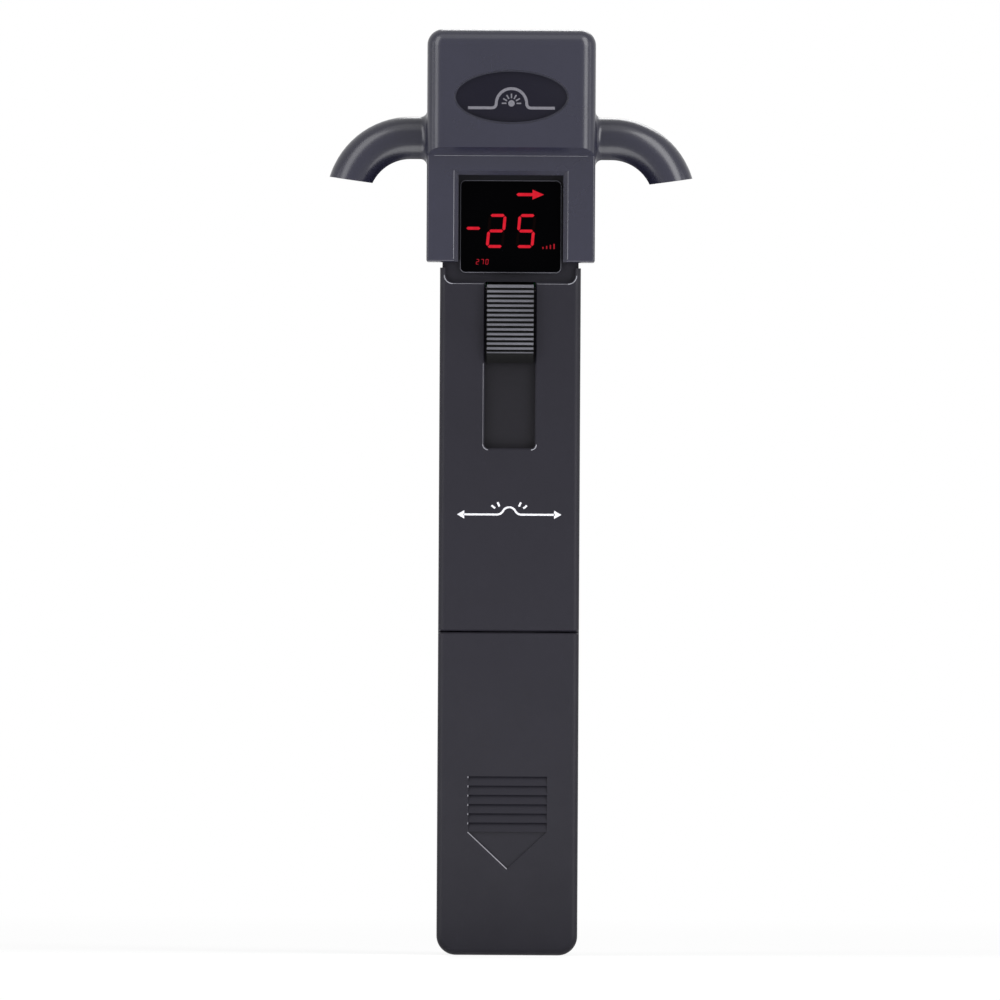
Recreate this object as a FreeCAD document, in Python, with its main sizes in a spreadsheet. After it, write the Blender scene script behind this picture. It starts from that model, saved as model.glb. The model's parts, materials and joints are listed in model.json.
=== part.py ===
"""Hand-held optical fibre identifier with a sliding bend clamp, modelled piece by piece.

The instrument stands on its base: +Z is up, the read-out faces -Y and the origin lies in the middle of
the base. All lengths are millimetres and all angles degrees. SIZES holds the driving dimensions and PLACES
what follows from them, so that every piece takes its seat from the same values as the piece that it fits.
"""
import FreeCAD
import Part
import Sketcher

import math
import os
import re

SIZES = {
    # Body shells
    "wall": 1.8,
    "body_depth": 27.0,
    "front_depth": 9.0,
    "seam": 0.3,
    "seam_bevel": 0.3,
    "corner_round": 4.2,
    "edge_round": 1.4,
    "back_round": 2.2,
    "door_height": 69.85,
    "shoulder_height": 148.8,
    "neck_step": 0.5,
    # Recess and read-out
    "recess_drop": 3.1,
    "recess_depth": 1.5,
    "recess_lip": 1.25,
    "recess_round": 1.5,
    "rim_bevel": 0.3,
    "panel_wall": 1.6,
    "panel_margin": 2.4,
    "window_width": 22.0,
    "window_height": 20.1,
    "window_margin": 2.0,
    "window_rise": 1.4,
    "window_round": 1.2,
    "window_edge": 0.3,
    "window_ledge": 1.5,
    "window_play": 0.15,
    "module_depth": 4.6,
    "display_board_thick": 1.0,
    "display_post_radius": 1.0,
    # Thumb slider, its track and the carriage
    "thumb_width": 10.14,
    "thumb_height": 17.0,
    "thumb_rise": 2.5,
    "thumb_ramp": 2.4,
    "thumb_gap": 0.6,
    "thumb_round": 0.5,
    "rib_pitch": 1.03,
    "rib_count": 14,
    "rib_groove": 0.5,
    "rib_depth": 0.7,
    "track_play": 0.38,
    "track_notch": 0.1,
    "track_round": 0.8,
    "travel_share": 0.25,
    "stop_play": 0.4,
    "slide_play": 0.25,
    "shutter_thick": 1.6,
    "shutter_lap": 1.15,
    "web_width": 8.0,
    "web_height": 16.0,
    "bar_width": 10.0,
    "bar_depth": 6.0,
    "bar_drop": 2.0,
    "tongue_width": 7.0,
    "tongue_depth": 3.0,
    "tongue_height": 3.6,
    "guide_rib": 1.2,
    "guide_thick": 1.2,
    "guide_land": 5.6,
    # Spring
    "spring_radius": 3.0,
    "spring_wire": 0.9,
    "spring_turns": 6,
    "spigot_radius": 2.0,
    "spigot_height": 4.0,
    # Head, adapter and anvil
    "fibre_rise": 6.2,
    "hump_height": 5.6,
    "hump_crown_radius": 6.0,
    "hump_flank_radius": 7.5,
    "adapter_base": 6.5,
    "adapter_depth": 8.0,
    "adapter_inset": 0.9,
    "adapter_groove": 0.5,
    "slot_play": 0.7,
    "nip_gap": 0.6,
    "anvil_back": 10.4,
    "anvil_depth": 12.0,
    "anvil_play": 0.15,
    "roof_clearance": 2.5,
    "roof_wall": 4.2,
    # Photodiodes
    "diode_radius": 2.3,
    "diode_length": 3.4,
    "diode_flange": 0.4,
    "diode_pin_radius": 0.25,
    "diode_pin_length": 3.0,
    "diode_setback": 2.2,
    "diode_play": 0.12,
    "aperture_radius": 0.9,
    # Light hood
    "hood_play": 0.25,
    "hood_wall": 3.25,
    "hood_roof": 3.2,
    "hood_gap": 1.3,
    "hood_round": 3.4,
    "frame_round": 0.5,
    "lip_round": 0.4,
    "brow_depth": 2.4,
    "brow_rise": 4.2,
    "brow_slope": 1.8,
    "notch_play": 0.35,
    "notch_rise": 1.1,
    "notch_bevel": 0.95,
    "oval_width": 24.5,
    "oval_height": 11.4,
    "oval_drop": 14.6,
    "oval_depth": 0.7,
    "oval_bevel": 0.25,
    "horn_radius": 4.85,
    "horn_wall": 1.2,
    "horn_stub": 3.5,
    "horn_bend": 13.5,
    "horn_turn": 78,
    "mouth_turn": 70.3,
    "mouth_tilt": 8,
    "horn_slit": 4.4,
    "horn_flare": 1.4,
    # Battery door
    "grip_width": 17.0,
    "grip_pitch": 2.0,
    "grip_count": 6,
    "grip_depth": 0.6,
    "arrow_top": 26.7,
    "arrow_height": 7.95,
    "arrow_depth": 0.5,
    "door_travel": 8.0,
    "door_play": 0.3,
    "rail_thick": 1.2,
    "rail_length": 9.5,
    "rail_reach": 3.0,
    "rail_nub": 0.6,
    "rail_top_drop": 2.8,
    "latch_width": 12.0,
    "latch_thick": 1.3,
    "latch_root": 6.0,
    "latch_lap": 2.2,
    "door_rib_spacing": 14.0,
    "door_rib_thick": 1.6,
    "door_rib_drop": 25.0,
    # Battery and its clip
    "battery_width": 26.4,
    "battery_depth": 17.4,
    "battery_height": 46.4,
    "battery_play": 0.25,
    "battery_round": 1.6,
    "terminal_spacing": 12.7,
    "terminal_height": 2.2,
    "stud_radius": 2.85,
    "socket_radius": 4.0,
    "socket_bore": 3.1,
    "clip_width": 22.6,
    "clip_depth": 12.0,
    "clip_thick": 2.4,
    "lead_radius": 0.7,
    "lead_bend": 5.0,
    "lead_rise": 4.0,
    "lead_lap": 4.0,
    # Boards
    "board_gap": 2.1,
    "board_thick": 1.2,
    "board_width": 15.0,
    "board_margin": 3.0,
    "board_boss_radius": 1.8,
    "board_boss_inset": 2.6,
    "chip_side": 8.0,
    "chip_thick": 1.1,
    "shield_width": 11.6,
    "shield_height": 14.0,
    "shield_depth": 2.6,
    "shield_round": 0.6,
    "passive_length": 2.0,
    "passive_width": 1.2,
    "passive_thick": 0.8,
    "passive_column": 4.8,
    "passive_count": 4,
    "flex_thick": 0.3,
    "flex_width": 5.0,
    "flex_lap": 3.0,
    "flex_rise": 5.0,
    "ribbon_width": 1.9,
    "ribbon_play": 0.4,
    "ribbon_lap": 2.0,
    # Screws
    "screw_play": 0.12,
    "case_post_radius": 2.3,
    "case_boss_radius": 3.0,
    "case_post_root": 0.4,
    "case_post_margin": 6.0,
    "case_head_radius": 2.1,
    "case_head_height": 1.6,
    "case_head_depth": 3.0,
    "case_shank_radius": 1.1,
    "case_screw_bite": 4.5,
    "small_head_radius": 1.6,
    "small_head_height": 0.9,
    "small_shank_radius": 0.8,
    "small_screw_bite": 1.5,
    "anvil_screw_spacing": 7.0,
    "anvil_screw_bite": 6.0,
}

PLACES = {
    # Body shells
    "half_width": "battery_width / 2 + battery_play + wall",
    "front": "-body_depth / 2",
    "back": "body_depth / 2",
    "inner_half": "half_width - wall",
    "inner_front": "front + wall",
    "inner_back": "back - wall",
    "split": "front + front_depth",
    "neck_half": "half_width - neck_step",
    "neck_inner_half": "neck_half - wall",
    "neck_back": "back - neck_step",
    "neck_inner_back": "neck_back - wall",
    "cover_foot": "door_height + seam",
    "partition_top": "cover_foot + wall",
    "partition_front": "latch_back + 2 * door_play",
    # Recess and read-out
    "recess_foot": "shoulder_height - recess_drop",
    "recess_half": "half_width - recess_lip",
    "recess_floor": "front + recess_depth",
    "panel_inner": "recess_floor + panel_wall",
    "chamber_top": "recess_foot - panel_wall",
    "window_front": "recess_floor - window_rise",
    "window_half": "window_width / 2",
    "window_foot": "recess_foot + window_margin",
    "window_top": "window_foot + window_height",
    "opening_half": "window_half - window_ledge",
    "opening_foot": "window_foot + window_ledge",
    "opening_top": "window_top - window_ledge",
    "panel_top": "window_top + panel_margin",
    "display_board_front": "panel_inner + module_depth",
    "display_board_back": "display_board_front + display_board_thick",
    "display_board_half": "neck_inner_half - hood_play",
    "display_post_x": "(opening_half + display_board_half) / 2",
    # Head
    "fibre_y": "(display_board_back + board_front - shield_depth) / 2",
    "fibre_level": "panel_top + fibre_rise",
    "hump_top": "fibre_level + hump_height",
    "hump_radii": "hump_crown_radius + hump_flank_radius",
    "hump_half": "sqrt(2 * hump_radii * hump_height - hump_height * hump_height)",
    "bend_x": "hump_half * hump_crown_radius / hump_radii",
    "bend_rise": "hump_height * hump_flank_radius / hump_radii",
    "adapter_half": "neck_half - adapter_inset",
    "adapter_foot": "fibre_level - adapter_base",
    "adapter_front": "fibre_y - adapter_depth / 2",
    "adapter_rear": "fibre_y + adapter_depth / 2",
    "slot_rear": "adapter_rear + slot_play",
    "slot_foot": "adapter_foot - travel - slot_play",
    "anvil_shoulder": "fibre_level + nip_gap",
    "anvil_crown": "hump_top + nip_gap",
    "anvil_top": "anvil_crown + anvil_back",
    "anvil_half": "neck_inner_half - anvil_play",
    "anvil_front": "fibre_y - anvil_depth / 2",
    "anvil_rear": "fibre_y + anvil_depth / 2",
    "roof_foot": "hump_top + roof_clearance",
    "head_top": "anvil_top + roof_wall",
    "diode_bore_radius": "diode_radius + diode_flange + diode_play",
    "lean_x": "hump_half / hump_radii",
    "lean_z": "(hump_radii - hump_height) / hump_radii",
    "diode_tilt": "acos(lean_z)",
    "diode_x": "bend_x + lean_x * diode_setback",
    "diode_z": "anvil_shoulder + bend_rise + lean_z * diode_setback",
    "sight_x": "bend_x - lean_x * diode_setback",
    "sight_z": "anvil_shoulder + bend_rise - lean_z * diode_setback",
    "sight_length": "2 * diode_setback + aperture_radius",
    # Light hood
    "hood_inner_half": "neck_half + hood_play",
    "hood_half": "hood_inner_half + hood_wall",
    "hood_inner_front": "recess_floor - hood_play",
    "hood_front": "hood_inner_front - hood_wall",
    "hood_inner_back": "neck_back + hood_play",
    "hood_back": "hood_inner_back + hood_wall",
    "hood_foot": "shoulder_height + hood_gap",
    "hood_top": "head_top + hood_roof",
    "brow_front": "hood_front - brow_depth",
    "brow_inner_front": "brow_front + hood_wall",
    "frame_half": "hood_half - hood_round + sqrt(brow_depth * (2 * hood_round - brow_depth))",
    "notch_half": "window_half + notch_play",
    "notch_top": "window_top + notch_rise",
    "brow_foot": "notch_top + brow_rise",
    "brow_inner_foot": "brow_foot + brow_slope + hood_wall",
    "oval_z": "hood_top - oval_drop",
    "horn_z": "fibre_level + nip_gap / 2",
    "horn_x": "hood_half + horn_stub",
    "horn_centre_z": "horn_z - horn_bend",
    "horn_bore": "horn_radius - horn_wall",
    "horn_end_x": "horn_x + horn_bend * sin(horn_turn)",
    "horn_end_z": "horn_centre_z + horn_bend * cos(horn_turn)",
    "mouth_x": "horn_x + horn_bend * sin(mouth_turn)",
    "mouth_z": "horn_centre_z + horn_bend * cos(mouth_turn)",
    "mouth_reach": "horn_radius + horn_wall",
    "mouth_drop": "mouth_reach * tan(mouth_tilt)",
    # Thumb slider and carriage
    "travel": "(chamber_top - partition_top) * travel_share",
    "thumb_half": "thumb_width / 2",
    "thumb_face": "front - thumb_rise",
    "track_half": "thumb_half + track_play",
    "track_top": "recess_foot + track_notch",
    "thumb_top": "track_top - thumb_gap",
    "thumb_foot": "thumb_top - thumb_height",
    "ramp_top": "thumb_foot + thumb_ramp",
    "track_foot": "thumb_foot - travel - stop_play",
    "shutter_front": "inner_front + slide_play",
    "shutter_back": "shutter_front + shutter_thick",
    "shutter_half": "track_half + shutter_lap",
    "shutter_top": "chamber_top - slide_play",
    "shutter_foot": "track_foot - 2 * shutter_lap",
    "web_top": "thumb_foot + 2 * slide_play",
    "web_foot": "web_top - web_height",
    "bar_front": "fibre_y - bar_depth / 2",
    "bar_rear": "fibre_y + bar_depth / 2",
    "bar_foot": "web_foot - bar_drop",
    "tongue_front": "fibre_y - tongue_depth / 2",
    "tongue_rear": "fibre_y + tongue_depth / 2",
    "guide_front": "shutter_back + slide_play",
    "guide_back": "guide_front + guide_thick",
    "guide_rib_in": "shutter_half + slide_play",
    "guide_half": "guide_rib_in + guide_rib",
    "guide_foot": "shutter_foot - travel - guide_land",
    "guide_top": "shutter_top - guide_rib",
    "guide_slot_half": "web_width / 2 + slide_play",
    "guide_slot_foot": "web_foot - travel - stop_play",
    "guide_screw_x": "guide_half - small_head_radius - guide_rib / 2",
    "guide_screw_z": "guide_foot + guide_land / 2",
    "thumb_screw_z": "(web_top + shutter_top) / 2",
    "spring_length": "bar_foot - partition_top",
    "post_height": "(spring_length - spigot_height - travel) / 2",
    # Battery compartment
    "battery_rear": "inner_back",
    "battery_front": "battery_rear - battery_depth",
    "battery_y": "battery_rear - battery_depth / 2",
    "battery_top": "wall + battery_height",
    "clip_foot": "battery_top + terminal_height",
    "clip_top": "clip_foot + clip_thick",
    "grip_half": "grip_width / 2",
    "rail_top": "door_height - rail_top_drop",
    "rail_foot": "rail_top - rail_length",
    "rail_in": "rail_out - rail_thick",
    "rail_out": "inner_half - door_play",
    "rail_tip": "split + rail_reach",
    "nub_out": "inner_half + rail_nub",
    "nub_front": "rail_tip - rail_thick",
    "groove_foot": "rail_foot - door_travel - door_play",
    "groove_top": "rail_top + door_play",
    "groove_front": "nub_front - door_play",
    "groove_rear": "rail_tip + door_play",
    "latch_front": "inner_front + door_play",
    "latch_back": "latch_front + latch_thick",
    "latch_foot": "door_height - latch_root",
    "latch_top": "door_height + latch_lap",
    # Boards
    "board_rear": "inner_back - board_gap",
    "board_front": "board_rear - board_thick",
    "board_half": "board_width / 2",
    "board_foot": "partition_top + board_margin",
    "board_top": "shoulder_height - board_margin",
    "board_boss_x": "board_half - board_boss_inset",
    "board_boss_low": "board_foot + board_boss_inset",
    "board_boss_high": "board_top - board_boss_inset",
    "chip_z": "board_foot + (board_top - board_foot) / 3",
    "shield_z": "board_foot + (board_top - board_foot) * 2 / 3",
    "passive_foot": "chip_z + chip_side / 2",
    "passive_top": "shield_z - shield_height / 2",
    "passive_z": "(passive_foot + passive_top) / 2",
    "passive_row": "(passive_top - passive_foot) / (passive_count + 1)",
    "lead_x": "board_boss_x - small_head_radius - lead_radius - door_play",
    "lead_y": "board_front - lead_radius",
    "lead_shift": "lead_y - battery_y",
    "lead_half_rise": "sqrt(lead_shift * (lead_bend - lead_shift / 4))",
    "lead_start": "clip_top + lead_rise",
    "lead_middle": "lead_start + lead_half_rise",
    "lead_end": "lead_start + 2 * lead_half_rise",
    "lead_top": "board_foot + lead_lap",
    "ribbon_in": "bar_width / 2 + ribbon_play",
    "ribbon_out": "ribbon_in + ribbon_width",
    "ribbon_top": "window_foot + ribbon_lap",
    "ribbon_low": "board_top - board_boss_inset - small_head_radius - 2 * ribbon_lap",
    "flex_top": "anvil_top - flex_rise",
    # Screws
    "case_x": "inner_half - case_post_radius + case_post_root",
    "case_low": "partition_top + case_post_margin",
    "case_high": "chamber_top - case_post_margin",
    "case_seat": "back - case_head_depth",
    "case_tip": "split - case_screw_bite",
    "case_hole_radius": "case_shank_radius + screw_play",
    "small_hole_radius": "small_shank_radius + screw_play",
    "anvil_screw_x": "anvil_screw_spacing / 2",
    "anvil_head_depth": "small_head_height + seam",
    "anvil_seat": "head_top - anvil_head_depth",
    "anvil_screw_tip": "anvil_top - anvil_screw_bite",
}

PLANE_ROLES = {"x": "YZ_Plane", "y": "XZ_Plane", "z": "XY_Plane"}
AXIS_TURNS = {
    "x": FreeCAD.Rotation(FreeCAD.Vector(0, 1, 0), 90),
    "y": FreeCAD.Rotation(FreeCAD.Vector(1, 0, 0), -90),
    "z": FreeCAD.Rotation(),
}
NAME = re.compile(r"[a-z][a-z0-9_]*")
TOLERANCE = 1e-4
RIM_SLOPE = 45

doc = FreeCAD.newDocument("fibre_identifier")


def make_sheet(label, cells, prefix):
    """Fill a spreadsheet with one named cell for each entry of a table."""
    sheet = doc.addObject("Spreadsheet::Sheet", label)
    for row, (alias, content) in enumerate(cells.items(), start=1):
        sheet.set(f"A{row}", alias)
        sheet.set(f"B{row}", prefix + str(content))
        sheet.setAlias(f"B{row}", alias)
    return sheet


def spell(formula):
    """Write a formula of plain names as an expression on the two sheets."""
    def owned(match):
        word = match.group()
        if word in SIZES:
            return "Sizes." + word
        return "Places." + word if word in PLACES else word

    return NAME.sub(owned, formula)


make_sheet("Sizes", SIZES, "")
make_sheet("Places", {name: spell(formula) for name, formula in PLACES.items()}, "=")
reckoner = doc.addObject("Spreadsheet::Sheet", "Reckoner")
doc.recompute()


def number(formula):
    """Work out a formula of plain names."""
    reckoner.set("A1", "=" + spell(formula))
    reckoner.recompute()
    value = reckoner.get("A1")
    return float(getattr(value, "Value", value))


def bind(thing, **formulas):
    """Tie properties to formulas; a double underscore stands for a dot in the property's path."""
    for path, formula in formulas.items():
        thing.setExpression(path.replace("__", "."), spell(formula))


def new_body(label):
    """Start an empty body that carries the node's name."""
    body = doc.addObject("PartDesign::Body", label)
    body.Label = label
    return body


def new_sketch(body, axis, level):
    """Attach a sketch square to an axis of the body, at a level along that axis."""
    sketch = body.newObject("Sketcher::SketchObject", "outline")
    role = PLANE_ROLES[axis]
    plane = next(feature for feature in body.Origin.OriginFeatures if feature.Role == role)
    sketch.AttachmentSupport = [(plane, "")]
    sketch.MapMode = "FlatFace"
    sign = "-" if axis == "y" else ""
    bind(sketch, AttachmentOffset__Base__z=f"{sign}({level})")
    return sketch


def pin(sketch, element, point, across, along):
    """Fix one point of a sketch by two formulas from the sketch's origin."""
    for kind, formula in (("DistanceX", across), ("DistanceY", along)):
        constraint = Sketcher.Constraint(kind, -1, 1, element, point, number(formula))
        bind(sketch, **{f"Constraints[{sketch.addConstraint(constraint)}]": formula})


def arc_between(start, end, radius, side):
    """Make the short arc between two points, bulging to the left (1) or the right (-1) of the way."""
    chord = end - start
    normal = FreeCAD.Vector(-chord.y, chord.x, 0).normalize()
    drop = math.sqrt(max(radius ** 2 - (chord.Length / 2) ** 2, 0.0))
    centre = (start + end) / 2 - normal * side * drop
    angles = [math.atan2(point.y - centre.y, point.x - centre.x) for point in (start, end)]
    first, last = angles if side < 0 else angles[::-1]
    circle = Part.Circle(centre, FreeCAD.Vector(0, 0, 1), radius)
    return Part.ArcOfCircle(circle, first, last if last > first else last + 2 * math.pi)


def trace(sketch, corners, closed=True):
    """Draw an outline through corners (across, along), reached by an arc where (radius, side) follow."""
    points = [FreeCAD.Vector(number(corner[0]), number(corner[1]), 0) for corner in corners]
    count = len(corners) if closed else len(corners) - 1
    starts, ends = [], []
    for index in range(count):
        target = corners[(index + 1) % len(corners)]
        start, end = points[index], points[(index + 1) % len(corners)]
        if len(target) == 2:
            element = sketch.addGeometry(Part.LineSegment(start, end), False)
            first, last = 1, 2
        else:
            radius, side = number(target[2]), target[3]
            element = sketch.addGeometry(arc_between(start, end, radius, side), False)
            constraint = sketch.addConstraint(Sketcher.Constraint("Radius", element, radius))
            bind(sketch, **{f"Constraints[{constraint}]": target[2]})
            first, last = (1, 2) if side < 0 else (2, 1)
        starts.append((element, first))
        ends.append((element, last))
    for index in range(count if closed else count - 1):
        follower = starts[(index + 1) % count]
        sketch.addConstraint(Sketcher.Constraint("Coincident", *ends[index], *follower))
    fixed = starts if closed else starts + ends[-1:]
    for corner, place in zip(corners, fixed):
        pin(sketch, *place, corner[0], corner[1])


def ring(sketch, across, along, radius):
    """Draw one circle."""
    centre = FreeCAD.Vector(number(across), number(along), 0)
    size = number(radius)
    element = sketch.addGeometry(Part.Circle(centre, FreeCAD.Vector(0, 0, 1), size), False)
    pin(sketch, element, 3, across, along)
    constraint = sketch.addConstraint(Sketcher.Constraint("Radius", element, size))
    bind(sketch, **{f"Constraints[{constraint}]": radius})


def oval(sketch, along, width, height):
    """Draw an ellipse on the middle line, wider than it is high."""
    centre = FreeCAD.Vector(0, number(along), 0)
    tip = centre + FreeCAD.Vector(number(width) / 2, 0, 0)
    crown = centre + FreeCAD.Vector(0, number(height) / 2, 0)
    element = sketch.addGeometry(Part.Ellipse(tip, crown, centre), False)
    sketch.exposeInternalGeometry(element)
    pin(sketch, element, 3, "0", along)
    long_axis, short_axis = element + 1, element + 2
    sketch.addConstraint(Sketcher.Constraint("Horizontal", long_axis))
    for axis, formula in ((long_axis, width), (short_axis, height)):
        constraint = sketch.addConstraint(Sketcher.Constraint("Distance", axis, number(formula)))
        bind(sketch, **{f"Constraints[{constraint}]": formula})


def box_outline(low, high, foot, top):
    """List the corners of a rectangle."""
    return [(low, foot), (high, foot), (high, top), (low, top)]


def centred(half, foot, top):
    """List the corners of a rectangle that straddles the middle line."""
    return box_outline(f"-({half})", half, foot, top)


def tray_outline(half, foot, top, radius):
    """List the corners of an outline that straddles the middle line, with its two lower corners rounded."""
    return [(f"-({half})", top), (f"-({half})", f"{foot} + {radius}"),
            (f"-({half}) + {radius}", foot, radius, -1), (f"{half} - ({radius})", foot),
            (half, f"{foot} + {radius}", radius, -1), (half, top)]


def extrude(body, axis, low, high, draw, cut=False):
    """Pad, or cut, what draw() puts on a sketch, between two levels along an axis."""
    sketch = new_sketch(body, axis, high if axis == "y" else low)
    draw(sketch)
    before = body.Shape.Volume if cut else 0.0
    feature = body.newObject("PartDesign::Pocket" if cut else "PartDesign::Pad", "cut" if cut else "pad")
    feature.Profile = sketch
    feature.Reversed = cut
    bind(feature, Length=f"({high}) - ({low})")
    doc.recompute()
    if cut and before - body.Shape.Volume < TOLERANCE:
        raise RuntimeError(f"{body.Label}: a cut along {axis} from {low} to {high} removed nothing")
    return feature


def outlines_drawer(outlines):
    """Make the draw() of closed outlines."""
    return lambda sketch: [trace(sketch, outline) for outline in outlines]


def rings_drawer(centres, radius):
    """Make the draw() of equal circles."""
    return lambda sketch: [ring(sketch, *centre, radius) for centre in centres]


def pad(body, axis, low, high, *outlines):
    """Pad closed outlines between two levels."""
    return extrude(body, axis, low, high, outlines_drawer(outlines))


def cut(body, axis, low, high, *outlines):
    """Cut closed outlines between two levels."""
    return extrude(body, axis, low, high, outlines_drawer(outlines), True)


def pad_rings(body, axis, low, high, radius, *centres):
    """Pad round columns between two levels."""
    return extrude(body, axis, low, high, rings_drawer(centres, radius))


def cut_rings(body, axis, low, high, radius, *centres):
    """Cut round holes between two levels."""
    return extrude(body, axis, low, high, rings_drawer(centres, radius), True)


def cut_rimmed(body, low, high, size, outline):
    """Cut an opening into the front, with a 45 degree bevel round its rim."""
    rim = cut(body, "y", low, f"{low} + {size}", outline)
    rim.TaperAngle = RIM_SLOPE
    doc.recompute()
    cut(body, "y", low, high, outline)


def reckon(places):
    """Work out the formulas given for x, y and z."""
    return {key: [number(formula) for formula in formulas] for key, formulas in places.items()}


def lies_at(point, wanted):
    """Tell whether a point has one of the wanted values on each axis that is named."""
    return all(any(abs(getattr(point, key) - value) < TOLERANCE for value in values)
               for key, values in wanted.items())


def straight_edges(shape, axis, **places):
    """Name the straight edges along an axis whose middle lies at one of the places given for x, y or z."""
    wanted = reckon(places)
    names = []
    for index, edge in enumerate(shape.Edges, start=1):
        if edge.Degenerated or edge.Curve.TypeId != "Part::GeomLine":
            continue
        start, end = edge.Vertexes[0].Point, edge.Vertexes[-1].Point
        if abs(abs(getattr(end - start, axis)) - edge.Length) > TOLERANCE:
            continue
        if lies_at((start + end) / 2, wanted):
            names.append(f"Edge{index}")
    return names


def arc_edges(shape, radius, **places):
    """Name the round edges of one radius whose centre lies at one of the places given for x, y or z."""
    wanted = reckon(places)
    size = number(radius)
    names = []
    for index, edge in enumerate(shape.Edges, start=1):
        if edge.Degenerated or edge.Curve.TypeId != "Part::GeomCircle":
            continue
        if abs(edge.Curve.Radius - size) < TOLERANCE and lies_at(edge.Curve.Center, wanted):
            names.append(f"Edge{index}")
    return names


def dress(body, kind, names, **formulas):
    """Round (Fillet) or bevel (Chamfer) named edges of the body so far."""
    if not names:
        raise RuntimeError(f"{body.Label}: no edges found for a {kind}")
    feature = body.newObject("PartDesign::" + kind, kind.lower())
    feature.Base = (body.Tip if body.Tip is not feature else feature.BaseFeature, names)
    bind(feature, **formulas)
    doc.recompute()
    return feature


def soften(body, radius, axis, **places):
    """Round straight edges of the body so far."""
    return dress(body, "Fillet", straight_edges(body.Shape, axis, **places), Radius=radius)


def primitive(body, kind, turn, place, **formulas):
    """Add or take away a turned primitive at a place."""
    feature = body.newObject("PartDesign::" + kind, kind.lower())
    feature.Placement = FreeCAD.Placement(FreeCAD.Vector(), turn)
    for key, formula in zip("xyz", place):
        bind(feature, **{f"Placement__Base__{key}": formula})
    bind(feature, **formulas)
    doc.recompute()
    return feature


def screws(label, axis, towards, places, seat, head_height, head_radius, shank_radius, tip):
    """Make a group of equal screws: round heads on a seat level and shanks to a tip level along an axis.

    towards is 1 where the tips lie on the axis's high side and -1 where they lie on its low side.
    """
    body_parts = []
    for place in places:
        ends = ((f"({seat}) - ({head_height})", seat), (seat, tip))
        if towards < 0:
            ends = ((seat, f"({seat}) + ({head_height})"), (tip, seat))
        cylinders = []
        for (low, high), radius in zip(ends, (head_radius, shank_radius)):
            cylinder = doc.addObject("Part::Cylinder", "turned")
            cylinder.Placement = FreeCAD.Placement(FreeCAD.Vector(), AXIS_TURNS[axis])
            at = dict(zip([key for key in "xyz" if key != axis], place))
            at[axis] = low
            bind(cylinder, Radius=radius, Height=f"({high}) - ({low})")
            bind(cylinder, **{f"Placement__Base__{key}": formula for key, formula in at.items()})
            cylinders.append(cylinder)
        screw = doc.addObject("Part::MultiFuse", "screw")
        screw.Shapes = cylinders
        body_parts.append(screw)
    group = doc.addObject("Part::Compound", label)
    group.Label = label
    group.Links = body_parts
    return group


def pairs(across, *levels):
    """List the places on both sides of the middle line, at each level."""
    return [(sign + across, level) for level in levels for sign in ("-", "")]


CASE_PLACES = pairs("case_x", "case_low", "case_high")
BOARD_PLACES = pairs("board_boss_x", "board_boss_low", "board_boss_high")
GUIDE_PLACES = pairs("guide_screw_x", "guide_screw_z")
ANVIL_PLACES = pairs("anvil_screw_x", "fibre_y")
LEAD_PLACES = pairs("lead_x", "lead_y")
POST_PLACES = pairs("display_post_x", "opening_foot", "opening_top")
THUMB_PLACE = ("0", "thumb_screw_z")
SIDES = ("-1", "1")


def sided(sign, low, high):
    """Mirror a range of X onto the side that a sign gives."""
    return (f"-({high})", f"-({low})") if sign == "-1" else (low, high)


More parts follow.
